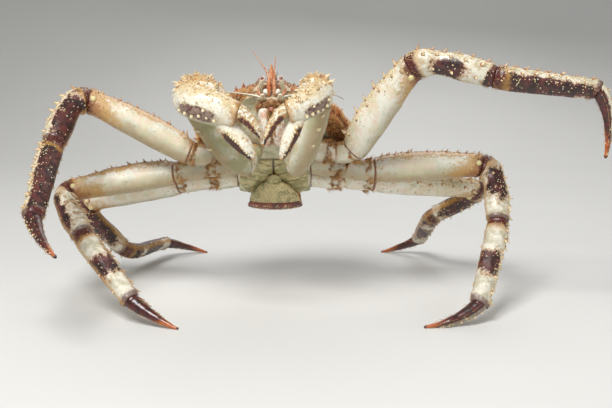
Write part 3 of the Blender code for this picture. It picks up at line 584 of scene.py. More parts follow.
def set_tufts(heap, sheet, tufts, strands, t, turn, reach, lengths, lean, band=0):
    """Bristles in tufts: a few strands round each of the given places."""
    t = np.repeat(t, strands) + rng.normal(0, reach, tufts * strands)
    turn = np.repeat(turn, strands) + rng.normal(0, 5.0, tufts * strands)
    length = np.repeat(rng.uniform(*lengths, tufts), strands)
    length = length * rng.uniform(0.6, 1.15, tufts * strands)
    aside = np.repeat(rng.choice((-1.1, 1.1), tufts), strands)
    set_small(heap, sheet, BRISTLE, np.clip(t, 0, 1), turn, length, 0.00017, lean, band, 3, 0.25,
              aside)


def near_edge(count, low, high, edge, width):
    """Random places along a piece, gathered round one edge."""
    return rng.uniform(low, high, count), edge + rng.normal(0, width, count)


def all_over(count, low, high, first, last):
    """Random places along a piece, evenly between two turns."""
    return rng.uniform(low, high, count), rng.uniform(first, last, count)


def apart(turn, other):
    """The angle between two turns, from -180 to 180 degrees."""
    return np.mod(turn - other + 180, 360) - 180


def skin(name, sheets, look, slot, ridge=0.0, mark=None, tip=0.0, node=True):
    """A piece made of closed skins, named after the node it stands for if there is one."""
    shell = Heap(len(sheets))
    for band, sheet in enumerate(sheets):
        shell.shell(sheet, band, ridge, mark, tip)
    shell.make(name, looks[look], slot, [name] if node else ())


def make_growths(limb, spines, warts, hairs, look):
    """The growths of a whole limb, one piece for each kind."""
    spines.make(f"{limb}_spines", looks[look], "shell_pale")
    warts.make(f"{limb}_grains", looks["wart"], "shell_pale")
    hairs.make(f"{limb}_bristles", looks["bristle"], "shell_pale")


def tint(red, shade_olive, blue):
    """A colour from its screen values, 0 to 255."""
    screen = vec((red, shade_olive, blue)) / 255
    linear = np.where(screen > 0.04045, ((screen + 0.055) / 1.055) ** 2.4, screen / 12.92)
    return (*linear, 1.0)


class Look:
    """A procedural material, put together from a few kinds of step."""

    def __init__(self, name, roughness=0.4, **constants):
        self.material = bpy.data.materials.new(name)
        self.material.use_nodes = True
        self.tree = self.material.node_tree
        self.shader = self.tree.nodes["Principled BSDF"]
        self.shader.inputs["Roughness"].default_value = roughness
        for socket, value in constants.items():
            self.shader.inputs[socket.replace("_", " ")].default_value = value
        self.place = self.tree.nodes.new("ShaderNodeTexCoord").outputs["Object"]
        self.height = None
        self.colour = None

    def node(self, kind, inputs, **settings):
        node = self.tree.nodes.new(kind)
        for key, value in settings.items():
            setattr(node, key, value)
        for key, value in inputs.items():
            self.feed(node.inputs[key], value)
        return node

    def feed(self, socket, value):
        if isinstance(value, bpy.types.NodeSocket):
            self.tree.links.new(value, socket)
        else:
            socket.default_value = value

    def mark(self, name):
        return self.node("ShaderNodeAttribute", {}, attribute_name=name).outputs["Fac"]

    def noise(self, size, detail=4.0, distortion=0.0):
        return self.node("ShaderNodeTexNoise", {"Vector": self.place, "Scale": 1 / size,
                                                "Detail": detail,
                                                "Distortion": distortion}).outputs[0]

    def cells(self, size, feature="F1"):
        return self.node("ShaderNodeTexVoronoi", {"Vector": self.place, "Scale": 1 / size},
                         feature=feature).outputs["Distance"]

    def band(self, value, low, high):
        return self.node("ShaderNodeMapRange", {"Value": value, "From Min": low,
                                                "From Max": high},
                         interpolation_type="SMOOTHSTEP").outputs[0]

    def sum(self, total, *more):
        """A value to which others are added, each given as (value, share)."""
        for value, share in more:
            total = self.node("ShaderNodeMath", {0: value, 1: share, 2: total},
                              operation="MULTIPLY_ADD").outputs[0]
        return total

    def times(self, a, b):
        return self.node("ShaderNodeMath", {0: a, 1: b}, operation="MULTIPLY").outputs[0]

    def mix(self, a, b, share):
        node = self.node("ShaderNodeMix", {"Factor": share}, data_type="RGBA")
        self.feed(node.inputs[6], a)
        self.feed(node.inputs[7], b)
        return node.outputs[2]

    def base(self, first, second, value, low, high):
        """Starts the colour: one tone that turns into another as a value passes low to high."""
        self.colour = self.mix(first, second, self.band(value, low, high))

    def over(self, tone, value, low, high, share=1.0):
        """Lays a tone over the colour where a value passes from low to high."""
        cover = self.times(self.band(value, low, high), share)
        self.colour = self.mix(self.colour, tone, cover)

    def bump(self, height, distance, strength=1.0):
        inputs = {"Height": height, "Distance": distance, "Strength": strength}
        if self.height:
            inputs["Normal"] = self.height
        self.height = self.node("ShaderNodeBump", inputs).outputs[0]

    def pits(self, size, depth, strength):
        """Small round pits, about a size apart."""
        self.bump(self.band(self.cells(size), 0.5, 0.0), depth, strength)

    def finish(self, roughness=None):
        self.feed(self.shader.inputs["Base Color"], self.colour)
        if roughness is not None:
            self.feed(self.shader.inputs["Roughness"], roughness)
        if self.height:
            self.feed(self.shader.inputs["Normal"], self.height)
        return self.material


CREAM = tint(226, 216, 188)
IVORY = tint(236, 233, 218)
BLUSH = tint(232, 208, 190)
CELADON = tint(198, 204, 178)
OLIVE = tint(140, 138, 92)
GOLD = tint(188, 140, 66)
AMBER = tint(170, 112, 44)
RUST = tint(136, 66, 34)
MAROON = tint(82, 28, 24)
UMBER = tint(44, 22, 18)
PURPLE = tint(112, 84, 84)
ORANGE = tint(206, 112, 56)


def pale_look(name, gold=0.0, knee=1.0, shade_olive=0.0):
    """Cream plates, golden to red-brown towards the back and knees; below, olive and amber, partly
    painted shade.
    """
    look = Look(name, 0.36, Coat_Weight=0.2, Coat_Roughness=0.2)
    along, ridge, dorsal, mark = map(look.mark, ("along", "ridge", "dorsal", "mark"))
    clouds, fine, blots = look.noise(0.020, 3.0), look.noise(0.0030, 5.0, 0.4), look.noise(0.009)
    look.base(IVORY, CREAM, clouds, 0.42, 0.60)
    look.over(BLUSH, blots, 0.50, 0.36, 0.60)
    look.over(CELADON, blots, 0.52, 0.68, 0.45)
    # Olive clouds over the whole plate as painted shade, in the share that the last argument
    # gives.
    look.over(OLIVE, clouds, 0.25, 0.60, shade_olive)
    # The lower side: olive and amber, partly the shell's own tone and partly painted shade.
    under = look.sum(ridge, (clouds, 0.9))
    look.over(OLIVE, under, 0.25, -0.55, 0.60)
    look.over(AMBER, under, -0.25, -0.60, 0.35)
    upper = look.sum(dorsal, (fine, 0.9), (clouds, 0.5), (mark, 1.0))
    look.over(GOLD, upper, 0.74 - gold, 1.00 - gold, 0.85)
    look.over(RUST, upper, 1.16 - gold, 1.38 - gold, 0.9)
    look.over(MAROON, upper, 1.45 - gold, 1.70 - gold, 0.8)
    end = look.sum(along, (clouds, 0.25), (blots, 0.12))
    low = look.sum(end, (ridge, -0.14), (fine, 0.30))
    look.over(GOLD, low, 1.08, 1.22, 0.75 * knee)
    look.over(RUST, low, 1.26, 1.36, 0.55 * knee)
    look.over(MAROON, end, 1.12, 1.17, 0.85 * knee)
    look.over(RUST, look.sum(along, (fine, 0.02)), 0.034, 0.014, 0.85)
    speckled = look.times(look.band(blots, 0.50, 0.60), 0.7)
    look.over(RUST, look.cells(0.0060), 0.17, 0.11, speckled)
    look.bump(blots, 0.0010, 0.35)
    look.bump(fine, 0.0005, 0.6)
    look.pits(0.0016, 0.0002, 0.6)
    return look.finish(look.sum(0.26, (fine, 0.22)))


def dark_look():
    """Shin plates: a pale ridge, and dark brown-purple faces broken by pale dots."""
    look = Look("shell_dark", 0.34, Coat_Weight=0.2, Coat_Roughness=0.22)
    along, ridge, dorsal, mark = map(look.mark, ("along", "ridge", "dorsal", "mark"))
    clouds, fine = look.noise(0.011, 4.0, 0.6), look.noise(0.0028, 5.0, 0.4)
    look.base(tint(92, 42, 36), UMBER, clouds, 0.36, 0.60)
    look.over(PURPLE, fine, 0.54, 0.70, 0.30)
    dark = look.colour
    look.base(tint(224, 219, 202), tint(190, 184, 160), clouds, 0.40, 0.62)
    look.over(GOLD, fine, 0.55, 0.70, 0.50)
    upper = look.band(dorsal, 0.05, 0.90)
    patch = look.sum(mark, (clouds, 1.3), (fine, 0.8), (upper, 0.8))
    look.over(AMBER, patch, 1.30, 1.52, 0.6)
    look.over(dark, patch, 1.50, 1.70)
    dotted = look.times(look.band(patch, 1.50, 1.70), 0.9)
    look.over(CREAM, look.cells(0.0055), 0.17, 0.11, dotted)
    knee = look.sum(along, (fine, 0.10), (clouds, 0.12))
    look.over(GOLD, knee, 0.32, 0.26, 0.6)
    look.over(MAROON, knee, 0.26, 0.19)
    look.over(MAROON, look.sum(along, (fine, 0.04)), 0.965, 0.995, 0.8)
    look.over(GOLD, look.sum(ridge, (fine, 0.35)), -0.68, -0.86, 0.75)
    look.bump(fine, 0.0005, 0.6)
    look.pits(0.0018, 0.0002, 0.7)
    return look.finish(look.sum(0.24, (fine, 0.24)))


def horn_look():
    """The last leg piece: dark horn with an amber tip and streaks, and a pale crest if marked."""
    look = Look("leg_tip_horn", 0.28, Coat_Weight=0.35, Coat_Roughness=0.15)
    along, ridge = look.mark("along"), look.mark("ridge")
    streak, fine = look.noise(0.006, 4.0, 1.2), look.noise(0.0018, 4.0)
    look.base(MAROON, UMBER, streak, 0.42, 0.60)
    crested = look.times(look.band(along, 0.85, 0.45), look.mark("mark"))
    look.over(CREAM, look.sum(ridge, (streak, 0.6)), 0.90, 1.15, crested)
    look.over(ORANGE, look.sum(along, (streak, 0.5), (ridge, -0.12)), 0.85, 1.15, 0.75)
    look.over(UMBER, along, 0.94, 0.99)
    look.bump(fine, 0.0003, 0.6)
    return look.finish(look.sum(0.20, (fine, 0.22)))


def back_look():
    """The carapace: red-brown mottled with purple and rust, golden on its rises, golden sides
    lightened as painted light.
    """
    look = Look("shell_back", 0.40, Coat_Weight=0.15, Coat_Roughness=0.3)
    clouds, fine = look.noise(0.022, 4.0, 0.5), look.noise(0.0035, 5.0, 0.4)
    look.base(tint(122, 54, 36), tint(84, 34, 30), clouds, 0.40, 0.62)
    look.over(tint(168, 96, 54), fine, 0.50, 0.68, 0.75)
    look.over(PURPLE, clouds, 0.58, 0.72, 0.5)
    rise = look.sum(look.mark("mark"), (fine, 0.3))
    look.over(GOLD, rise, 0.15, 1.15, 0.45)
    # Golden sides, their tone lightened as painted light.
    side = look.sum(look.mark("ridge"), (fine, 0.5), (clouds, 0.5))
    look.over(tint(230, 164, 90), side, 0.52, 0.12, 0.8)
    look.over(CREAM, rise, 1.20, 1.60, 0.75)
    look.bump(fine, 0.0006, 0.7)
    look.pits(0.0024, 0.0003, 0.7)
    return look.finish(look.sum(0.28, (fine, 0.24)))


def growth_look(name, root, middle, point, dorsal=RUST):
    """Spines and warts: coloured root, paler middle and a horny tip, redder on the back."""
    look = Look(name, 0.32, Coat_Weight=0.2, Coat_Roughness=0.2)
    tip = look.sum(look.mark("tip"), (look.noise(0.004, 3.0), 0.35))
    look.base(root, middle, tip, 0.12, 0.46)
    look.over(point, tip, 0.85, 1.05)
    upper = look.sum(look.mark("dorsal"), (look.noise(0.006), 0.6))
    look.over(dorsal, upper, 0.55, 1.0, 0.55)
    look.bump(look.noise(0.0015, 4.0), 0.0002, 0.5)
    return look.finish()


def bristle_look(name, dark, light, tips):
    """Stiff bristles, in strands of two browns with paler ends."""
    look = Look(name, 0.50, Sheen_Weight=0.2)
    look.base(dark, light, look.noise(0.0045, 2.0), 0.38, 0.60)
    look.colour = look.mix(look.colour, tips, look.times(look.mark("tip"), 0.45))
    return look.finish()


def flesh_look(name, size, grain, tones, turns, flecks, depth, gloss):
    """The mouth and outer jaw feet: two soft tones in clouds and small flecks of a third."""
    look = Look(name, 0.33, Coat_Weight=0.3, Coat_Roughness=gloss[1])
    clouds, fine = look.noise(*size), look.noise(grain, 4.0)
    look.base(tones[0], tones[1], clouds, *turns)
    look.over(tones[2], fine, *flecks, 0.6)
    look.bump(fine, depth, 0.6)
    return look.finish(look.sum(gloss[0], (fine, 0.2)))


def feeler_look():
    look = Look("feeler", 0.36, Coat_Weight=0.2, Coat_Roughness=0.2)
    rings = look.noise(0.0022, 3.0)
    look.base(tint(230, 156, 108), tint(204, 108, 66), rings, 0.42, 0.60)
    look.over(tint(238, 204, 170), look.noise(0.006), 0.46, 0.60, 0.6)
    look.over(tint(206, 150, 100), look.mark("along"), 0.5, 0.95, 0.4)
    look.bump(rings, 0.0002, 0.6)
    return look.finish()


def eye_look():
    """A pale ring round a glossy pinkish-brown middle."""
    look = Look("eye", 0.12, Coat_Weight=0.8, Coat_Roughness=0.05)
    ridge = look.sum(look.mark("ridge"), (look.noise(0.0012, 3.0), 0.08))
    look.base(tint(230, 220, 206), tint(160, 104, 88), ridge, 0.74, 0.86)
    look.over(tint(88, 44, 38), ridge, 0.93, 1.02)
    look.bump(look.cells(0.0003), 0.00003, 0.4)
    return look.finish()


def flank_look():
    """The flanks: golden brown under their bristles, and pale greenish plates elsewhere."""
    look = Look("flank", 0.42, Coat_Weight=0.1, Coat_Roughness=0.3)
    clouds, fine = look.noise(0.012, 4.0, 0.5), look.noise(0.0024, 5.0, 0.4)
    look.base(tint(196, 132, 64), tint(138, 80, 38), clouds, 0.40, 0.60)
    brown = look.colour
    look.colour = tint(206, 200, 172)
    look.over(OLIVE, clouds, 0.42, 0.66, 0.8)
    look.over(brown, look.sum(look.mark("mark"), (fine, 0.4)), 0.45, 0.80)
    look.bump(fine, 0.0006, 0.7)
    return look.finish()


def breast_look():
    """The breast plate: olive cream, with dark seams between its pieces."""
    look = Look("breast", 0.36, Coat_Weight=0.2, Coat_Roughness=0.2)
    clouds, fine = look.noise(0.010, 4.0, 0.5), look.noise(0.0024, 5.0, 0.4)
    look.base(tint(192, 182, 132), OLIVE, clouds, 0.40, 0.62)
    look.over(GOLD, fine, 0.50, 0.66, 0.6)
    look.over(UMBER, look.sum(look.mark("mark"), (fine, 0.5)), 0.55, 0.95, 0.85)
    look.bump(fine, 0.0005, 0.6)
    return look.finish(look.sum(0.26, (fine, 0.22)))


def claw_look(name, root, edge, patch_tone, depth, tip_from, freckled, crown):
    """Claw plates: ivory, a tone below that is painted shade on the palm, a rimmed patch where
    marked, and horn tips.
    """
    look = Look(name, 0.30, Coat_Weight=0.25, Coat_Roughness=0.18)
    along, ridge, mark = map(look.mark, ("along", "ridge", "mark"))
    clouds, fine = look.noise(0.012, 3.0, 0.4), look.noise(0.0028, 5.0, 0.4)
    look.base(IVORY, CREAM, clouds, 0.40, 0.65)
    # The lower side in the given tone; on the palm this olive is painted shade.
    look.over(root, look.sum(ridge, (clouds, 0.7)), 0.05, -0.60, 0.75)
    upper = look.sum(ridge, (fine, 0.8), (clouds, 0.6))
    look.over(tint(204, 172, 112), upper, 1.15, 1.50, crown)
    look.over(tint(186, 158, 104), fine, 0.46, 0.60, freckled)
    patch = look.sum(mark, (fine, 0.5), (clouds, 0.5))
    look.over(edge, patch, 0.62, 0.92, 0.8)
    look.over(patch_tone, patch, 0.90, 1.15, depth)
    spotted = look.times(look.band(patch, 0.7, 1.0), 0.85)
    look.over(MAROON, look.noise(0.0042, 3.0, 0.3), 0.50, 0.60, spotted)
    tips = look.sum(along, (fine, 0.10))
    look.over(UMBER, tips, tip_from, tip_from + 0.10, look.band(patch, 0.45, 0.75))
    joint = look.sum(along, (clouds, 0.16), (fine, 0.06))
    look.over(GOLD, joint, 1.01, 1.07, 0.6)
    look.over(AMBER, joint, 1.07, 1.12, 0.8)
    look.bump(fine, 0.0004, 0.5)
    return look.finish(look.sum(0.22, (fine, 0.22)))


# Tones of the growths: root, middle and point, and the tone towards the back where not rust
GROWTHS = {
    "spine": (tint(158, 88, 48), tint(228, 208, 166), tint(196, 144, 84)),
    "spine_claw": (tint(186, 128, 66), tint(232, 214, 172), IVORY, tint(214, 178, 116)),
    "spine_head": (tint(150, 84, 56), tint(196, 128, 84), tint(226, 196, 150)),
    "spine_back": (MAROON, tint(172, 92, 52), tint(222, 186, 130)),
    "wart": (tint(204, 172, 112), tint(222, 204, 154), CREAM, AMBER),
    "wart_back": (MAROON, tint(160, 88, 52), tint(196, 140, 84)),
    "tubercle": (tint(196, 176, 130), tint(228, 212, 164), IVORY, CREAM),
    "condyle": (tint(206, 186, 120), tint(222, 208, 152), CREAM, GOLD),
    "feeler_knob": (tint(214, 196, 176), IVORY, IVORY, IVORY),
    "lip": (tint(196, 132, 112), tint(190, 120, 104), tint(220, 170, 150)),
}

looks = {
    "pale": pale_look("shell_pale"),
    "plain": pale_look("shell_plain", 0.0, 0.0),
    "base": pale_look("shell_base", 0.10, 0.0),
    "carpus": pale_look("claw_carpus", 0.28, 0.0),
    # The claw arms' bases and meri; the last value is their olive painted shade, more on the right
    # arm.
    "arm_right": pale_look("arm_right", 0.0, 0.0, 0.85),
    "arm_left": pale_look("arm_left", -0.1, 0.0, 0.45),
    # The palm's olive lower side is painted shade.
    "palm": claw_look("claw_palm", OLIVE, tint(186, 168, 140), tint(138, 112, 100), 0.9, 3.0,
                      0.25, 0.5),
    "finger": claw_look("claw_finger", tint(200, 168, 108), tint(170, 122, 56),
                        tint(78, 34, 20), 1.0, 0.80, 1.0, 0.7),
    "thumb": claw_look("claw_thumb", CREAM, tint(176, 132, 62), tint(66, 34, 18), 1.0, 0.80,
                       0.35, 0.0),
    "bristle": bristle_look("bristles", tint(168, 98, 38), tint(222, 162, 80),
                            tint(228, 192, 126)),
    # Golden-orange bristles of the flanks and back, their tones lightened as painted light where
    # they sit in shade.
    "painted_lit_bristle": bristle_look("painted_lit_bristles", tint(238, 150, 64), tint(252, 204, 118),
                                  tint(252, 232, 180)),
    "dark": dark_look(),
    "horn": horn_look(),
    "back": back_look(),
    "mouth": flesh_look("mouth", (0.006, 4.0, 0.8), 0.0016,
                        (tint(204, 172, 128), tint(140, 92, 54), tint(150, 62, 52)),
                        (0.40, 0.58), (0.54, 0.68), 0.0003, (0.25, 0.20)),
    "jaw": flesh_look("jaw_foot", (0.007, 4.0, 0.6), 0.0022,
                      (tint(238, 232, 216), tint(216, 172, 146), tint(168, 104, 78)),
                      (0.44, 0.62), (0.58, 0.70), 0.0004, (0.22, 0.18)),
    "feeler": feeler_look(),
    "eye": eye_look(),
    "flank": flank_look(),
    "breast": breast_look(),
    **{name: growth_look(name, *tones) for name, tones in GROWTHS.items()},
}


# Distance between the rings of a leg piece, and points in each ring
LEG_STEP = 0.0013
LEG_SIDES = 60


def leg_relief(name):
    def relief(t, turn, grid):
        """Gentle waves and pits in a leg plate, the lips of its joints and a seam in its base."""
        waves = 0.00035 * lumps(grid, 0.012) + 0.00016 * lumps(grid, 0.004, 1)
        lip = 0.0008 * np.exp(-((t - 0.965) / 0.020) ** 2)
        neck = -0.0006 * np.exp(-((t - 0.05) / 0.025) ** 2)
        if name == "propodus":
            waves = waves + 0.0004 * np.cos(np.radians(turn * 5))
        if name == "base":
            waves = waves - 0.0022 * base_seam(t, turn) + 0.0006 * lumps(grid, 0.007, 2)
        return waves + lip + neck
    return relief


def base_seam(t, turn):
    """The seam between the two joints at the root of a leg, which runs askew round it."""
    return np.exp(-((t - 0.50 - 0.06 * np.sin(np.radians(turn))) / 0.022) ** 2)


# Band of the coat map, look and slot of each leg piece
LEG_PIECES = {"base": (0, "base", "shell_pale"), "merus": (1, "pale", "shell_pale"),
              "carpus": (2, "dark", "shell_dark"), "propodus": (3, "dark", "shell_dark"),
              "dactyl": (4, "horn", "claw_tip")}

FRONT = (0, -1, 0)
# Dark patches of the shins: place along, reach along, the way they face, spread and strength
SHADES = {
    (1, RIGHT): {"carpus": ((0.60, 0.50, (0.3, -1, -0.3), 85, 1.0),),
                 "propodus": ((0.50, 0.75, (0.3, -1, -0.2), 88, 1.0),)},
    (1, LEFT): {"carpus": ((0.55, 0.22, (0, -1, -0.3), 55, 1.0),
                           (0.98, 0.05, (0, -1, -0.6), 100, 1.0)),
                "propodus": ((0.48, 0.60, (0, -1, -0.5), 64, 1.0),)},
    (2, RIGHT): {"carpus": ((0.62, 0.45, (-1, -1, -0.8), 62, 1.0),),
                 "propodus": ((0.04, 0.12, (-1, -1, 0), 120, 1.0),
                              (0.58, 0.15, (-0.6, -1, 0), 95, 1.0))},
    (2, LEFT): {"carpus": ((0.50, 0.28, (0.3, -1, 0), 62, 1.0),),
                "propodus": ((0.0, 0.10, FRONT, 180, 1.0), (0.60, 0.15, (0.2, -1, 0), 95, 1.0))},
    (3, RIGHT): {"carpus": ((0.50, 0.40, FRONT, 80, 0.9),),
                 "propodus": ((0.10, 0.20, FRONT, 120, 0.9), (0.60, 0.20, FRONT, 100, 0.9))},
}
SHADES[3, LEFT] = SHADES[3, RIGHT]


def shade(tube, patches, ridge):
    """How dark a plate is: full in its patches, and below nothing on its pale ridge."""
    spots = [(t, reach, tube.turn_of(t, way), width, strength)
             for t, reach, way, width, strength in patches]

    def mark(t, turn):
        total = -0.9 * np.maximum(0, np.cos(np.radians(turn - ridge))) ** 6
        for place, reach, around, width, strength in spots:
            near = ((t - place) / reach) ** 2 + (apart(turn, around) / width) ** 2 * 0.6
            total = total + strength * 1.25 * np.exp(-near ** 1.15)
        return total
    return mark


# Radius of the hinges at a knee
CONDYLE = 0.0036
# How pale the crest of a leg tip is, from 0 to 1, where it has one
CRESTS = {(1, LEFT): 0.9, (2, RIGHT): 0.2, (2, LEFT): 0.3}


def leg_mark(name, tube, number, side, edge):
    """What is marked on each piece: its seam, its dark patches or its pale crest."""
    if name == "base":
        return base_seam
    if name == "dactyl":
        return lambda t, turn: np.full(t.shape, CRESTS.get((number, side), 0.0))
    patches = SHADES[number, side].get(name)
    return shade(tube, patches, edge) if patches else None


def build_leg(number, side):
    limb = f"leg_{number}_{side}"
    ridge = RIDGE.get((number, side), 0.0)
    spines, warts, hairs = Heap(5), Heap(5), Heap(5)
    for name, tube in leg_tubes(number, side).items():
        band, look, slot = LEG_PIECES[name]
        edge = ridge if name in ("carpus", "propodus", "dactyl") else 0.0
        sheet = sheet_from(tube, LEG_SIDES, LEG_STEP, leg_relief(name))
        if name == "dactyl":
            sheet.grid[..., 2] = np.maximum(sheet.grid[..., 2], 0.0)
        mark = leg_mark(name, tube, number, side, edge)
        skin(f"{limb}_{name}", [sheet], look, slot, edge, mark)
        set_spines(spines, sheet, leg_spines(name, edge, MERUS_FIRST_SPINE[number]), band)
        leg_growths(name, sheet, edge, band, spines, warts, hairs)
        if name == "merus":
            build_condyles(limb, sheet)
    make_growths(limb, spines, warts, hairs, "spine")


def build_condyles(limb, sheet):
    """The two round hinges at the knee end of a merus."""
    hinges = []
    for turn in (106.0, -106.0):
        root = sheet.points([0.955], [turn])[0]
        out = sheet.outward([0.955], [turn])[0]
        hinges.append(ball(root - out * CONDYLE * 0.35, CONDYLE, out, 16, 24))
    skin(f"{limb}_condyles", hinges, "condyle", "shell_pale", tip=0.5, node=False)


# Counts of small spines, grains and bristles on each leg piece
LEG_SMALL = {"base": (14, 180, 0), "merus": (52, 1050, 140), "carpus": (44, 420, 110),
             "propodus": (60, 420, 110), "dactyl": (10, 50, 100)}


def leg_growths(name, sheet, edge, band, spines, warts, hairs):
    small, grains, strands = LEG_SMALL[name]
    sow(spines, sheet, LEG_THORN, near_edge(small, 0.08, 0.95, edge, 34), (0.5, 1.2), band)
    widths = rng.choice((18, 42, 70), grains, p=(0.5, 0.35, 0.15))
    sow(warts, sheet, LEG_GRAIN, near_edge(grains, 0.03, 0.98, edge, widths), (0.35, 1.25), band)
    length = rng.uniform(0.0015, 0.0040, strands)
    if name == "base":
        places = rng.choice((0.34, 0.44, 0.90), 90) + rng.normal(0, 0.03, 90)
        set_tufts(hairs, sheet, 90, 16, places, rng.uniform(0, 360, 90), 0.015,
                  (0.003, 0.0080), 0.7, band)
        return
    if name == "dactyl":
        t, turn = rng.uniform(0.1, 0.8, strands), edge + rng.choice((70, 180, 290), strands)
    else:
        t = np.where(rng.random(strands) < 0.5, 0.03, 0.95) + rng.normal(0, 0.018, strands)
        turn = rng.uniform(0, 360, strands)
    set_small(hairs, sheet, BRISTLE, np.clip(t, 0, 1), turn, length, 0.00020, 0.8, band, 3, 0.35)


# Half height, half width and shift towards the midline along each piece of a claw arm
ARM_BASE = ((0.0, 0.0125, 0.0125), (0.5, 0.0135, 0.0130), (1.0, 0.0125, 0.0125))
ARM_MERUS = ((0.0, 0.0120, 0.0120), (0.3, 0.0160, 0.0150), (0.75, 0.0165, 0.0150),
             (1.0, 0.0140, 0.0135))
ARM_CARPUS = {
    RIGHT: ((0.0, 0.0140, 0.0140, 0.0), (0.35, 0.0222, 0.0250, 0.012),
            (0.7, 0.0242, 0.0295, 0.017), (1.0, 0.0140, 0.0150, 0.001)),
    LEFT: ((0.0, 0.0130, 0.0135, 0.0), (0.35, 0.0176, 0.0180, 0.006),
           (0.7, 0.0192, 0.0190, 0.007), (1.0, 0.0120, 0.0125, 0.001)),
}
# Half height and half width along the palm, finger and thumb, as shares of the claw's gauge
PALM = {
    RIGHT: ((0.0, 0.52, 0.54), (0.16, 0.78, 0.68), (0.42, 0.82, 0.72), (0.72, 0.78, 0.62),
            (1.0, 0.62, 0.46)),
    LEFT: ((0.0, 0.52, 0.54), (0.16, 0.78, 0.68), (0.42, 0.90, 0.72), (0.72, 0.82, 0.62),
           (1.0, 0.62, 0.46)),
}
FINGER = ((0.0, 0.34, 0.30), (0.25, 0.33, 0.27), (0.6, 0.24, 0.20), (1.0, 0.06, 0.06))
THUMB = ((0.0, 0.42, 0.36), (0.35, 0.47, 0.40), (0.65, 0.39, 0.34), (0.88, 0.24, 0.18),
         (1.0, 0.07, 0.07))
# How far the roots of the finger and thumb lie above and below the middle of the palm, as
# shares of the gauge
FINGER_RISE = 0.25
THUMB_DROP = 0.42


def arm_tubes(side):
    """The pieces of one claw arm: base, merus, carpus, palm with its thumb, and finger."""
    sign, gauge = SIGN[side], CLAW_GAUGE[side]
    hip, elbow, wrist, knuckle, finger, thumb = vec(ARM_JOINTS[side])
    down, up = body_direction(0, 0, -1), vec((0, 0.3, 1))
    upper = unit(elbow - hip)
    hip_way, rise_way = blend(down, upper, 0.28), blend(down, upper, 0.62)
    bend_way = blend(upper, (0, -0.3, 1), 0.5)
    fore = unit(vec((0, -0.9, -0.35)))
    palm_way = unit(vec((-sign * 0.15, -1, -0.1)))
    knuckle_way = unit(vec((-sign, -0.10, -0.35)))
    root_joint = body_point(sign * ARM_ROOT[0], ARM_ROOT[1], ARM_ROOT[2] - GAP / 2), down
    hip_joint = hip, unit(hip_way + rise_way)
    elbow_joint = elbow, unit(upper + bend_way)
    wrist_plane = unit(fore + palm_way)
    shifts = [(*row[:3], row[3] * sign) for row in ARM_CARPUS[side]]
    tubes = {"base": between(root_joint, hip_joint, (down, hip_way), (0, 0, 1), ARM_BASE,
                             ease=0.5),
             "merus": between(hip_joint, elbow_joint, (rise_way, upper), up, ARM_MERUS),
             "carpus": between(elbow_joint, (wrist, wrist_plane), (bend_way, fore), up, shifts,
                               handles=(0.45, 0.4), ease=0.4),
             "palm": Tube(wrist + wrist_plane * GAP / 2, knuckle, palm_way, knuckle_way, up,
                          sized(PALM[side], gauge), wrist_plane, knuckle_way,
                          handles=(0.35, 0.4))}
    rise = tubes["palm"].up_at(1.0) * gauge
    tubes["finger"] = Tube(knuckle + knuckle_way * GAP + rise * FINGER_RISE, finger,
                           (-sign * 0.8, -0.1, -0.6), (-sign * 0.25, 0, -1), up,
                           sized(FINGER, gauge), knuckle_way)
    tubes["thumb"] = Tube(tubes["palm"].centre(0.83) - rise * THUMB_DROP, thumb,
                          (-sign * 0.5, -0.05, -0.9), (-sign * 0.35, 0.0, -1), up,
                          sized(THUMB, gauge))
    return tubes


def arm_spines(name, side):
    """The strong spines of a claw arm, with the round tubercles of the palm last."""
    if name == "merus":
        return spine_row(spread(0.45, 0.88, 3), 180, 0.0050, 0.0023)
    rows = []
    if name == "carpus":
        for turn in (-68, -38, -10, 18, 46, 72):
            rows += spine_row(spread(0.28, 0.78, 3), turn, 0.0070, 0.0028, 0.3)
    if name == "palm":
        for turn in (-34, -8):
            rows += spine_row(spread(0.22, 0.80, 4), turn, 0.0042, 0.0024, 0.4)
        front = -SIGN[side]
        rows += spine_row(spread(0.25, 0.75, 6), front * 118, 0.0026, 0.0024, 0.0)
        rows += spine_row(spread(0.3, 0.6, 2), front * 92, 0.0026, 0.0022, 0.0)
    return rows


ARM_BANDS = {"base": 0, "merus": 1, "carpus": 2, "palm": 3, "finger": 4, "thumb": 5}
# Counts of small spines, warts and bristles on each piece of a claw arm
ARM_SMALL = {"base": (0, 40, 160), "merus": (8, 90, 60), "carpus": (150, 420, 60),
             "palm": (64, 200, 90), "finger": (0, 30, 44), "thumb": (0, 20, 34)}


def arm_relief(t, turn, grid):
    """Waves and pits in a plate of a claw arm, and the lip at its far joint."""
    return (0.0004 * lumps(grid, 0.012) + 0.00018 * lumps(grid, 0.004, 1)
            + 0.0006 * np.exp(-((t - 0.96) / 0.025) ** 2))


def carpus_relief(t, turn, grid):
    """The knobbly top of a claw's wrist plate."""
    upper = np.clip(0.6 + np.cos(np.radians(turn)), 0, 1)
    return arm_relief(t, turn, grid) + 0.0016 * upper * lumps(grid, 0.0065, 4)


def claw_patch(front):
    """The dark patch on the side of a palm that faces the front."""
    def mark(t, turn):
        return np.exp(-((t - 0.50) / 0.26) ** 4 - (apart(turn, front * 108) / 26) ** 4)
    return mark


def outer_band(outer, width, start):
    """The dark band down the outer side of a finger, from near its root."""
    def mark(t, turn):
        return np.exp(-(apart(turn, outer) / width) ** 4) * np.clip((t - start) / 0.2, 0, 1)
    return mark


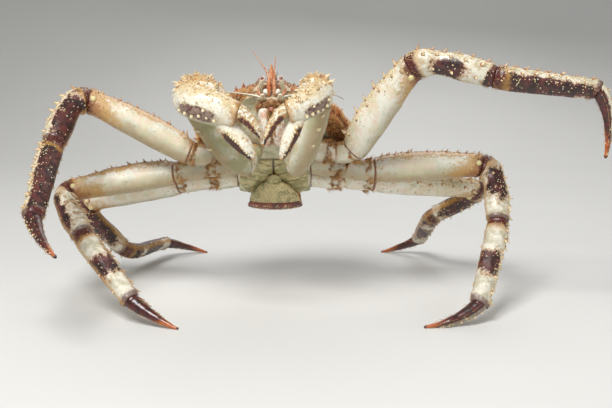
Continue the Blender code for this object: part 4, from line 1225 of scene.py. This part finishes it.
def build_arm(side):
    """One claw arm. The thumb grows from the palm's node, as a piece of its own."""
    tubes = arm_tubes(side)
    spines, warts, hairs, teeth = Heap(6), Heap(6), Heap(6), Heap(6)
    front = -SIGN[side]
    for name in ("base", "merus", "carpus", "palm", "finger"):
        relief = carpus_relief if name == "carpus" else arm_relief
        sheet = sheet_from(tubes[name], 72, 0.0011, relief)
        look = f"arm_{side}" if name in ("base", "merus") else name
        slot = "shell_back" if name == "carpus" else "shell_pale"
        ridge, mark = 0.0, None
        if name == "palm":
            mark = claw_patch(front)
            build_thumb(tubes["thumb"], side, teeth, spines, warts, hairs)
        elif name == "finger":
            outer = tubes["finger"].turn_of(0.5, (SIGN[side] * 0.6, -0.5, -1.0))
            ridge, mark = outer + 180, outer_band(outer, 66, 0.05)
        skin(f"claw_{side}_{name}", [sheet], look, slot, ridge, mark)
        rows = arm_spines(name, side)
        blunt = {"merus": 0, "palm": 8}.get(name, len(rows))
        set_spines(spines, sheet, rows[:blunt], ARM_BANDS[name])
        set_spines(teeth, sheet, rows[blunt:], ARM_BANDS[name], TUBERCLE)
        arm_growths(name, sheet, spines, warts, hairs, front)
    make_growths(f"claw_{side}", spines, warts, hairs, "spine_claw")
    teeth.make(f"claw_{side}_teeth", looks["tubercle"], "shell_pale")


def build_thumb(tube, side, teeth, spines, warts, hairs):
    sheet = sheet_from(tube, 56, 0.0011, arm_relief)
    outer = tube.turn_of(0.6, (SIGN[side], -0.2, -0.35))
    skin(f"claw_{side}_thumb", [sheet], "thumb", "shell_pale", outer + 180,
         outer_band(outer, 62, 0.12), node=False)
    bite_edge(teeth, sheet, outer, side)
    arm_growths("thumb", sheet, spines, warts, hairs, -SIGN[side])


def bite_edge(teeth, sheet, outer, side):
    """White blunt teeth where the dark outer band of a thumb meets its pale inner face."""
    count = 11 if side == RIGHT else 7
    for edge in (64, -64):
        t, turn = np.linspace(0.26, 0.86, count), np.full(count, outer + edge)
        size = np.linspace(1.2, 0.6, count) * rng.uniform(0.75, 1.15, count)
        set_small(teeth, sheet, TUBERCLE, t, turn, 0.0021 * size, 0.0014 * size, 0.0,
                  ARM_BANDS["thumb"], 8, 0.0)


def arm_growths(name, sheet, spines, warts, hairs, front):
    small, grains, strands = ARM_SMALL[name]
    band = ARM_BANDS[name]
    edge, width = {"carpus": (0, 52), "palm": (front * 14, 24)}.get(name, (0, 30))
    sow(spines, sheet, CLAW_THORN, near_edge(small, 0.12, 0.92, edge, width), (0.6, 1.5), band)
    sow(warts, sheet, CLAW_GRAIN, near_edge(grains, 0.06, 0.95, 0.0, 44), (0.3, 1.1), band)
    if name in ("finger", "thumb"):
        set_tufts(hairs, sheet, strands, 8, rng.uniform(0.04, 0.90, strands),
                  rng.uniform(0, 360, strands), 0.008, (0.0014, 0.0032), 0.9, band)
        return
    t = rng.choice((0.03, 0.95), strands) + rng.normal(0, 0.03, strands)
    turn = rng.uniform(0, 360, strands)
    sow(hairs, sheet, CLAW_BRISTLE, (np.clip(t, 0, 1), turn), (0.5, 1.5), band)


# Half width of the carapace and its height over the margin, from the rear to the front
CARAPACE_OUTLINE = ((-0.076, 0.038, 0.014), (-0.064, 0.062, 0.028), (-0.040, 0.084, 0.041),
                    (-0.010, 0.0955, 0.049), (0.018, 0.094, 0.050), (0.044, 0.083, 0.045),
                    (0.068, 0.062, 0.036), (0.086, 0.039, 0.026), (0.100, 0.021, 0.013))
OUTLINE_WIDTH = 0.191
OUTLINE_HEIGHT = 0.050


def carapace_point(f, turn):
    """The shell at a distance forward and a turn from the left margin, in degrees."""
    f, turn = np.broadcast_arrays(vec(f), vec(turn))
    width = table(CARAPACE_OUTLINE, f, 1) * CARAPACE_WIDTH / OUTLINE_WIDTH
    height = table(CARAPACE_OUTLINE, f, 2) * CARAPACE_HEIGHT / OUTLINE_HEIGHT
    across, rise = np.cos(np.radians(turn)), np.maximum(np.sin(np.radians(turn)), 0)
    x = width * np.copysign(np.abs(across) ** 0.85, across)
    d = MARGIN_LEVEL + height * rise ** 0.80
    groove = 0.0030 * np.exp(-((f - 0.026) / 0.010) ** 2) * rise
    swell = 0.0035 * np.exp(-((np.abs(x) - 0.048) / 0.020) ** 2 - ((f + 0.025) / 0.030) ** 2)
    return body_point(x, f, d - groove + swell)


# Rows of spines over the back: distance forward, first and last turn, how many, and height
BACK_SPINES = ((-0.064, 35, 145, 5, 0.0065), (-0.048, 22, 158, 8, 0.0085),
               (-0.028, 16, 164, 9, 0.0090), (-0.006, 14, 166, 9, 0.0085),
               (0.016, 14, 166, 8, 0.0085), (0.040, 18, 162, 8, 0.0095),
               (0.062, 24, 156, 6, 0.0085), (0.082, 38, 142, 4, 0.0075))
MARGIN_SPINES = 9


def carapace_spines():
    """The strong spines of the back and of its margin: f, turn, lean, length and radius."""
    found = []
    for f, first, last, count, height in BACK_SPINES:
        for turn in spread(first, last, count):
            at, around = f + draw.uniform(-0.004, 0.004), turn + draw.uniform(-3, 3)
            size = draw.uniform(0.75, 1.15)
            found.append((at, around, 0.25, height * size, 0.0030 * size))
    for f in spread(-0.056, 0.086, MARGIN_SPINES):
        for turn in (6, 174):
            found.append((f, turn, 0.35, 0.0085 * draw.uniform(0.8, 1.15), 0.0027))
    return found


def carapace_t(f):
    return (vec(f) - CARAPACE_REAR) / (CARAPACE_FRONT - CARAPACE_REAR)


# Rings along the carapace, and points in each ring
CARAPACE_ROWS = 130
CARAPACE_COLUMNS = 200


def build_carapace():
    half = CARAPACE_COLUMNS // 2
    f = np.linspace(CARAPACE_REAR, CARAPACE_FRONT, CARAPACE_ROWS)[:, None]
    arc = np.linspace(0, 180, half, endpoint=False)[None, :]
    top = carapace_point(f, arc)
    wide = table(CARAPACE_OUTLINE, f, 1) * CARAPACE_WIDTH / OUTLINE_WIDTH
    below = body_point(wide * np.linspace(-1, 1, half, endpoint=False)[None, :], f,
                       MARGIN_LEVEL + 0.0 * arc)
    x = top[..., 0] - MIDLINE
    regions = region_grooves(np.abs(x), f)
    grid = np.concatenate([top, below], axis=1)
    lift = np.zeros(grid.shape[:2])
    edge = np.sin(np.radians(arc)) ** 0.5
    lift[:, :half] = (-0.0022 * regions + 0.0008 * lumps(top, 0.011)
                      + 0.0003 * lumps(top, 0.004, 2)) * edge
    sheet = raised(grid, lift)

    def rises(t, turn):
        """The swellings of the back, and its front margin."""
        mark = np.zeros(lift.shape)
        mark[:, :half] = np.clip(lift[:, :half] / 0.0011, 0, 1) * edge
        return np.maximum(mark, 1.6 * np.clip((t - 0.90) / 0.06, 0, 1))
    skin("carapace", [sheet], "back", "shell_back", 90.0, rises)
    spines, warts, pale, hairs = Heap(), Heap(), Heap(), Heap()
    set_spines(spines, sheet, [(carapace_t(f), *rest) for f, *rest in carapace_spines()])
    sow(spines, sheet, BACK_THORN, all_over(420, 0.03, 0.97, 4, 176), (0.5, 1.2))
    sow(pale, sheet, FRONT_THORN, all_over(70, 0.88, 0.99, 2, 178), (0.6, 1.3))
    sow(warts, sheet, BACK_WART, all_over(5200, 0.01, 0.99, 1, 179), (0.5, 1.3))
    for first, last in ((2, 20), (160, 178), (182, 202), (338, 358)):
        sow(hairs, sheet, BACK_BRISTLE, all_over(1500, 0.36, 0.98, first, last), (0.6, 1.3))
    hairs.make("carapace_bristles", looks["painted_lit_bristle"], "shell_back")
    spines.make("carapace_spines", looks["spine_back"], "shell_back")
    warts.make("carapace_warts", looks["wart_back"], "shell_back")
    pale.make("carapace_front_spines", looks["spine"], "shell_back")


def region_grooves(x, f):
    """How deep the grooves between the regions of the back are, from 0 to 1."""
    neck = np.exp(-((f - 0.030 + 9.0 * x * x) / 0.0045) ** 2)
    heart = np.exp(-((x - 0.020 - 0.10 * (f + 0.03)) / 0.0040) ** 2) * (f < 0.024)
    cross = np.exp(-((f + 0.020) / 0.0040) ** 2) * (x < 0.022)
    gill = np.exp(-((x - 0.058 + 0.35 * np.abs(f)) / 0.0045) ** 2) * 0.6
    return np.clip(np.maximum.reduce([neck, heart, cross, gill * np.ones_like(neck)]), 0, 1)


# Half width of the underside, its level and the top of the leg wall, from rear to front
UNDERSIDE = ((-0.072, 0.030, 0.012, 0.026), (-0.052, 0.046, 0.001, 0.025),
             (-0.030, 0.046, 0.000, 0.024), (0.000, 0.046, 0.000, 0.024),
             (0.018, 0.046, 0.000, 0.024), (0.037, 0.046, 0.001, 0.024),
             (0.055, 0.036, 0.004, 0.024), (0.072, 0.026, 0.009, 0.026),
             (0.088, 0.019, 0.018, 0.030), (0.097, 0.0165, 0.023, 0.031))
# How far the top of the flanks lies inside the margin of the shell
THORAX_INSET = 0.003


def polyline(corners, count):
    """Points spaced evenly in turn along closed rings of corners (rows, corners, 3)."""
    total = corners.shape[1]
    spot = np.arange(count) * total / count
    low = spot.astype(int)
    part = (spot - low)[None, :, None]
    return corners[:, low] * (1 - part) + corners[:, (low + 1) % total] * part


def mirrored_rings(f, half, count, rounds):
    """Softened rings across the body at each f, from the left half of their corners (x, d)."""
    corners = [body_point(x, f, d) for x, d in half]
    corners += [body_point(-x, f, d) for x, d in reversed(half)]
    grid = polyline(np.stack(corners, axis=1), count)
    for _ in range(rounds):
        around = (np.roll(grid, 1, axis=1) + np.roll(grid, -1, axis=1)) / 2
        grid = grid * 0.5 + around * 0.5
    return grid


def bristly(t, turn):
    """The share of golden brown on the underside: full on the flanks, none on the leg walls."""
    down = np.minimum(turn, np.mod(330 - turn, 360))
    return np.clip((66 - down) / 14, 0, 1) * np.clip((0.90 - t) / 0.06, 0, 1)


def build_thorax():
    """The body below the shell: bristly flanks that lean in to the walls that carry the legs."""
    f = np.linspace(UNDERSIDE[0][0], UNDERSIDE[-1][0], 110)
    wall, level, wall_top = (table(UNDERSIDE, f, column) for column in (1, 2, 3))
    top = MARGIN_LEVEL - GAP
    rim = table(CARAPACE_OUTLINE, f, 1) - THORAX_INSET
    flare = wall + (rim - wall) * 0.55
    half = [(rim, top + 0 * f), (rim - 0.001, top - 0.005 + 0 * f), (flare, wall_top + 0.002),
            (wall, wall_top), (wall, level), (wall * 0.5, level - 0.0002)]
    grid = mirrored_rings(f, half, 216, 6)
    sheet = raised(grid, 0.0006 * lumps(grid, 0.010) + 0.0003 * lumps(grid, 0.004, 3))
    skin("thorax", [sheet], "flank", "shell_pale", 180.0, bristly)
    hairs = Heap()
    for first, last in ((6, 60), (270, 324)):
        sow(hairs, sheet, FLANK_BRISTLE, all_over(5400, 0.12, 0.86, first, last), (0.6, 1.3))
    hairs.make("thorax_bristles", looks["painted_lit_bristle"], "shell_pale")


# Half width, lower level and thickness of the breast plate, from rear to front
BREAST = ((-0.052, 0.034, 0.0030), (-0.036, 0.042, 0.0042), (-0.010, 0.043, 0.0046),
          (0.006, 0.036, 0.0044), (0.016, 0.016, 0.0030))


def build_sternum():
    f = np.linspace(BREAST[0][0], BREAST[-1][0], 64)
    width, thick = table(BREAST, f, 1), table(BREAST, f, 2)
    top = -0.0002 - GAP + 0 * f
    half = [(width, top), (width, top - thick * 0.5), (width * 0.6, top - thick),
            (width * 0.12, top - thick * 0.8)]
    grid = mirrored_rings(f, half, 160, 4)
    x = np.abs(grid[..., 0] - MIDLINE)
    seams = np.exp(-(x / 0.0016) ** 2)
    for place in (-0.034, -0.014, 0.004):
        slope = place + 0.55 * x - 4.0 * x * x
        seams = np.maximum(seams, 0.8 * np.exp(-((f[:, None] - slope) / 0.0011) ** 2))
    sheet = raised(grid, -0.0013 * seams + 0.0004 * lumps(grid, 0.008))
    skin("sternum", [sheet], "breast", "shell_pale", 90.0, lambda t, turn: seams)


def body_tube(start, end, start_way, end_way, sizes, up=(0, 0, 1), **more):
    """A tube between two points of the body, with its ways and upper side in the body's frame."""
    return Tube(body_point(*start), body_point(*end), body_direction(*start_way),
                body_direction(*end_way), body_direction(*up), sizes, **more)


# Half height and half width along the pieces of the tail
ABDOMEN_TURN = ((0.0, 0.0105, 0.030), (0.3, 0.0090, 0.034), (0.7, 0.0062, 0.036),
                (1.0, 0.0048, 0.034))
ABDOMEN_FLAP = ((0.0, 0.0046, 0.033), (0.35, 0.0056, 0.030), (0.7, 0.0054, 0.021),
                (1.0, 0.0036, 0.010))
TELSON = ((0.0, 0.0034, 0.0095), (0.5, 0.0036, 0.0080), (1.0, 0.0012, 0.0030))


def plate_relief(count, depth):
    def relief(t, turn, grid):
        """Raised plates parted by grooves across the tail."""
        wave = np.abs(np.sin(np.pi * count * t)) ** 0.35
        return depth * (wave - 1) + 0.0003 * lumps(grid, 0.008)
    return relief


def build_abdomen():
    """The tail, which leaves the rear wall, turns under and lies along the breast plate."""
    pieces = {
        "abdomen_turn": (body_tube((0, -0.0723, 0.0215), (0, -0.058, -0.0110), (0, -1, 0),
                                   (0, 1, 0), ABDOMEN_TURN, handles=(0.75, 0.72)), 3, "back"),
        "abdomen_flap": (body_tube((0, -0.0577, -0.0110), (0, -0.018, -0.0098), (0, 1, 0),
                                   (0, 1, 0), ABDOMEN_FLAP, up=(0, 0, -1)), 3, "breast"),
        "telson": (body_tube((0, -0.0177, -0.0098), (0, -0.006, -0.0088), (0, 1, 0),
                             (0, 1, 0), TELSON), 1, "breast"),
    }
    warts = Heap(3)
    for band, (name, (tube, plates, look)) in enumerate(pieces.items()):
        sheet = sheet_from(tube, 96, 0.0011, plate_relief(plates, 0.0009))
        skin(name, [sheet], look, "shell_back" if look == "back" else "shell_pale")
        count = 60 if name == "telson" else 400
        sow(warts, sheet, TAIL_WART, near_edge(count, 0.05, 0.95, 0.0, 45), (0.5, 1.2), band)
    warts.make("abdomen_warts", looks["wart"], "shell_back")


EYE_RADIUS = 0.0035
# How far forward the wall lies that the head pieces grow from
HEAD_WALL = 0.097 + GAP
# Half height and half width along the head pieces
ROSTRUM = ((0.0, 0.0052, 0.0068), (0.4, 0.0042, 0.0044), (1.0, 0.0007, 0.0007))
STALK = ((0.0, 0.0031, 0.0031), (0.5, 0.0025, 0.0025), (1.0, 0.0030, 0.0030))
FEELER_STEM = ((0.0, 0.0028, 0.0026), (0.5, 0.0022, 0.0022), (1.0, 0.0016, 0.0016))
WHIP = ((0.0, 0.0010, 0.0010), (1.0, 0.0004, 0.0004))
FEELER_BASE = ((0.0, 0.0034, 0.0036), (0.5, 0.0044, 0.0044), (1.0, 0.0022, 0.0022))
LONG_WHIP = ((0.0, 0.0017, 0.0017), (0.3, 0.0010, 0.0010), (1.0, 0.0004, 0.0004))
# Radius of the knob beside an inner feeler
FEELER_KNOB = 0.0039
FEELER_TIPS = {RIGHT: (-0.0170, -0.060, 0.3095), LEFT: (0.0088, -0.056, 0.3030)}


def head_sheet(tube, sides=40, step=0.0007, waves=0.00015, rim=0.12, soft=0.0011):
    return sheet_from(tube, sides, step, lambda t, turn, grid: waves * lumps(grid, 0.003), rim,
                      soft)


def build_rostrum():
    tube = body_tube((0, CARAPACE_FRONT + GAP, 0.0425), (0, 0.127, 0.0535), (0, 1, 0.15),
                     (0, 1, 0.5), ROSTRUM, start_plane=AHEAD)
    sheet = head_sheet(tube)
    skin("rostrum", [sheet], "feeler", "shell_back")
    rows = spine_row((0.3, 0.6), 0, 0.0055, 0.0018, 1.0, 0)
    for turn in (60, -60):
        rows += spine_row((0.35,), turn, 0.0085, 0.0022, 1.2, 0)
        rows += spine_row((0.62,), turn, 0.0050, 0.0015, 1.2, 0)
    spines = Heap()
    set_spines(spines, sheet, rows)
    t, turn = near_edge(26, 0.05, 0.8, 0.0, 50)
    set_small(spines, sheet, SPIKE, t, turn, 0.0016, 0.0006, 0.8, 0, 6)
    spines.make("rostrum_spines", looks["spine"], "shell_back")


def build_eye(side):
    sign = SIGN[side]
    root, end = (sign * 0.0145, HEAD_WALL, 0.0318), (sign * 0.0112, 0.1120, 0.0405)
    stalk = body_tube(root, end, (0, 1, 0), (sign * -0.35, 0.6, 1), STALK, start_plane=AHEAD)
    skin(f"eyestalk_{side}", [head_sheet(stalk)], "plain", "shell_pale")
    way = stalk.tangent(1.0)
    centre = body_point(*end) + way * (GAP + EYE_RADIUS * 0.6)
    gaze = unit(way * 0.35 + vec((sign * 0.25, -1.0, 0.1)))
    eye = Heap()
    eye.shell(ball(centre, EYE_RADIUS, gaze))
    eye.marks["ridge"] = [unit(np.concatenate(eye.points) - centre) @ gaze]
    eye.make(f"eye_{side}", looks["eye"], "eye", [f"eye_{side}"])


def ball(centre, radius, way, rows=28, columns=40, squash=1.0):
    """A round sheet about a way, from its rear pole to its front pole."""
    way = unit(vec(way))
    aside = unit(np.cross(way, vec((0.1, 0.3, 1))))
    across = np.cross(way, aside)
    lift = np.linspace(-math.pi / 2 + 0.02, math.pi / 2 - 0.02, rows)[:, None, None]
    turn = (np.arange(columns) * 2 * math.pi / columns)[None, :, None]
    ring = aside * np.cos(turn) + across * np.sin(turn)
    return Sheet(centre + radius * (way * np.sin(lift) * squash + ring * np.cos(lift)))


def build_inner_feeler(side):
    """The short feeler beside the rostrum, with the pale knob at its root."""
    sign = SIGN[side]
    stem = body_tube((sign * 0.0036, HEAD_WALL, 0.0310), (sign * 0.0030, 0.1150, 0.0400),
                     (0, 1, 0), (0, 0.8, 1), FEELER_STEM, start_plane=AHEAD)
    way = stem.tangent(1.0)
    whip = Tube(stem.centre(1.0) - way * 0.002, FEELER_TIPS[side], way,
                vec(FEELER_TIPS[side]) - stem.centre(1.0), (0, 1, 0), WHIP)
    skin(f"antennule_{side}", [head_sheet(stem), head_sheet(whip, 12, 0.0010, 0.0)], "feeler",
         "feeler")
    knob = ball(body_point(sign * 0.0068, 0.1015, 0.0325), FEELER_KNOB, (0, -1, 0), 20, 28)
    skin(f"antennule_{side}_knob", [knob], "feeler_knob", "feeler", tip=0.5, node=False)


def build_outer_feeler(side):
    """The long feeler that runs back behind the claw, with two strong spines at its root."""
    sign = SIGN[side]
    base = body_tube((sign * 0.0112, HEAD_WALL, 0.0232), (sign * 0.0104, 0.1075, 0.0240),
                     (0, 1, 0), (0, 1, 0.2), FEELER_BASE, start_plane=AHEAD)
    whip = body_tube((sign * 0.0112, 0.1030, 0.0225), (sign * 0.0860, 0.0600, 0.0580),
                     (sign * 1, 0.1, 0.3), (sign * 0.6, -1, 0.3), LONG_WHIP)
    skin(f"antenna_{side}", [head_sheet(base), head_sheet(whip, 12, 0.0015, 0.0)], "plain",
         "shell_pale")
    spines = Heap()
    root = body_point(sign * 0.0125, 0.1045, 0.0240)
    for reach, rise in ((0.0175, 0.0375), (0.0205, 0.0310)):
        end = body_point(sign * reach, 0.1100, rise)
        length = np.linalg.norm(end - root)
        spines.grow(SPIKE, 8, root[None], unit(end - root)[None], length, 0.0013,
                    np.zeros((1, 3)), vec([0.5]), vec([length * 9e3]))
    sow(spines, head_sheet(base), FEELER_THORN, all_over(30, 0.3, 0.95, 0, 360), (0.5, 1.2))
    spines.make(f"antenna_{side}_spines", looks["spine_head"], "shell_pale")


# Half height and half width along the two pieces of an outer jaw foot
JAW_FOOT = ((0.0, 0.0044, 0.0050), (0.4, 0.0048, 0.0074), (1.0, 0.0036, 0.0062))
JAW_PALP = ((0.0, 0.0034, 0.0038), (0.6, 0.0030, 0.0036), (1.0, 0.0008, 0.0010))


def build_jaw_foot(side):
    """The outer jaw foot, which runs forward under the mouth and folds back at its end."""
    sign = SIGN[side]
    foot = body_tube((sign * 0.0078, 0.0470, 0.0016), (sign * 0.0086, 0.1060, 0.0030),
                     (0, 0.35, -1), (0, 1, 0.45), JAW_FOOT, up=(0, 1, 0.35),
                     start_plane=body_direction(0, 0, -1), handles=(0.3, 0.3))
    palp = body_tube((sign * 0.0086, 0.1035, 0.0010), (sign * 0.0062, 0.0820, -0.0190),
                     (0, 0.5, -1), (0, -1, -0.3), JAW_PALP, up=(0, 1, 0))
    sheets = [head_sheet(tube, 44, 0.0005, 0.0004, 0.55, 0.0016) for tube in (foot, palp)]
    skin(f"jaw_foot_{side}", sheets, "jaw", "shell_pale")
    hairs = Heap(2)
    for band, (tube, sheet) in enumerate(zip((foot, palp), sheets)):
        inner = tube.turn_of(0.5, (-sign, 0.0, 0.0))
        sow(hairs, sheet, JAW_BRISTLE, near_edge(260, 0.1, 0.98, inner, 26), (1.2, 3.4), band)
    hairs.make(f"jaw_foot_{side}_bristles", looks["bristle"], "shell_pale")


# Distance to the side and forward of the round ends of the small jaw feet
MOUTH_KNOBS = ((-0.0125, 0.0920), (-0.0065, 0.0935), (0.0065, 0.0935), (0.0125, 0.0920))


def build_mouthparts():
    """The small jaw feet, a soft brown cluster below the head."""
    way = body_direction(0, 1, -0.6)
    lip = ball(body_point(0, 0.0970, 0.0104), 0.0034, way, 20, 28, 0.8)
    skin("mouth_lip", [lip], "lip", "mouth", node=False)
    centres = [(body_point(0, 0.0955, 0.0170), 0.0073)]
    centres += [(body_point(x, f, 0.0175), 0.0056) for x, f in MOUTH_KNOBS]
    knobs = [ball(centre, radius, way, 30, 44).grid for centre, radius in centres]
    sheets = [raised(knob, 0.0005 * lumps(knob, 0.003)) for knob in knobs]
    skin("mouthparts", sheets, "mouth", "mouth")
    hairs = Heap(len(sheets))
    for band, sheet in enumerate(sheets):
        sow(hairs, sheet, MOUTH_BRISTLE, all_over(320, 0.35, 0.98, 0, 360), (1.8, 4.5), band)
    hairs.make("mouthparts_bristles", looks["bristle"], "mouth")


# How far behind the crab the paper starts to curve up, and how wide the curve is
SWEEP_START = 1.2
SWEEP_ROUND = 2.4


def build_floor():
    """A sheet of pale paper that lies under the crab and curves up far behind it."""
    arc = np.radians(np.linspace(0, 80, 24))
    rise = [(-3.0, 0.0), (0.0, 0.0)] + [(SWEEP_START + SWEEP_ROUND * math.sin(a),
                                         SWEEP_ROUND * (1 - math.cos(a))) for a in arc]
    points = [(x, y, z) for y, z in rise for x in (-5.0, 5.0)]
    faces = [(2 * k, 2 * k + 1, 2 * k + 3, 2 * k + 2) for k in range(len(rise) - 1)]
    mesh = bpy.data.meshes.new("floor")
    mesh.from_pydata(points, [], faces)
    mesh.shade_smooth()
    floor = bpy.data.objects.new("floor", mesh)
    bpy.context.scene.collection.objects.link(floor)
    look = Look("floor_paper", 0.75)
    look.colour = look.mix(tint(226, 225, 221), tint(218, 217, 213), look.noise(0.4, 2.0))
    mesh.materials.append(look.finish())


def add_light(name, place, size, power):
    """A square light that faces the crab."""
    light = bpy.data.lights.new(name, "AREA")
    light.size = size
    light.energy = power
    lamp = bpy.data.objects.new(name, light)
    bpy.context.scene.collection.objects.link(lamp)
    lamp.location = place
    way = Vector((0, 0, 0.15)) - Vector(place)
    lamp.rotation_euler = way.to_track_quat("-Z", "Y").to_euler()


def build_studio():
    build_floor()
    add_light("key_light", (-0.5, -1.2, 1.7), 0.8, 40)
    add_light("fill_light", (1.4, -1.3, 0.9), 1.4, 6)
    add_light("rim_light", (0.3, 1.6, 1.5), 1.4, 14)
    world = bpy.context.scene.world or bpy.data.worlds.new("studio")
    bpy.context.scene.world = world
    world.use_nodes = True
    back = world.node_tree.nodes["Background"]
    back.inputs["Color"].default_value = (0.86, 0.87, 0.88, 1)
    back.inputs["Strength"].default_value = 0.30
    bpy.context.scene.view_settings.view_transform = "Standard"


# The camera, which sees the crab from the front and a little above
CAMERA_PLACE = (-0.0137, -1.1386, 0.3197)
CAMERA_TILT = math.radians(80)
CAMERA_LENS = 54.1


def build_camera():
    camera = bpy.data.cameras.new("camera")
    camera.lens = CAMERA_LENS
    camera.sensor_width = 36
    eye = bpy.data.objects.new("camera", camera)
    bpy.context.scene.collection.objects.link(eye)
    eye.location = CAMERA_PLACE
    eye.rotation_euler = (CAMERA_TILT, 0, 0)
    bpy.context.scene.camera = eye


def main():
    build_studio()
    build_camera()
    build_carapace()
    build_thorax()
    build_sternum()
    build_abdomen()
    build_rostrum()
    build_mouthparts()
    for side in (RIGHT, LEFT):
        build_eye(side)
        build_inner_feeler(side)
        build_outer_feeler(side)
        build_jaw_foot(side)
        build_arm(side)
        for number in (1, 2, 3):
            build_leg(number, side)


main()
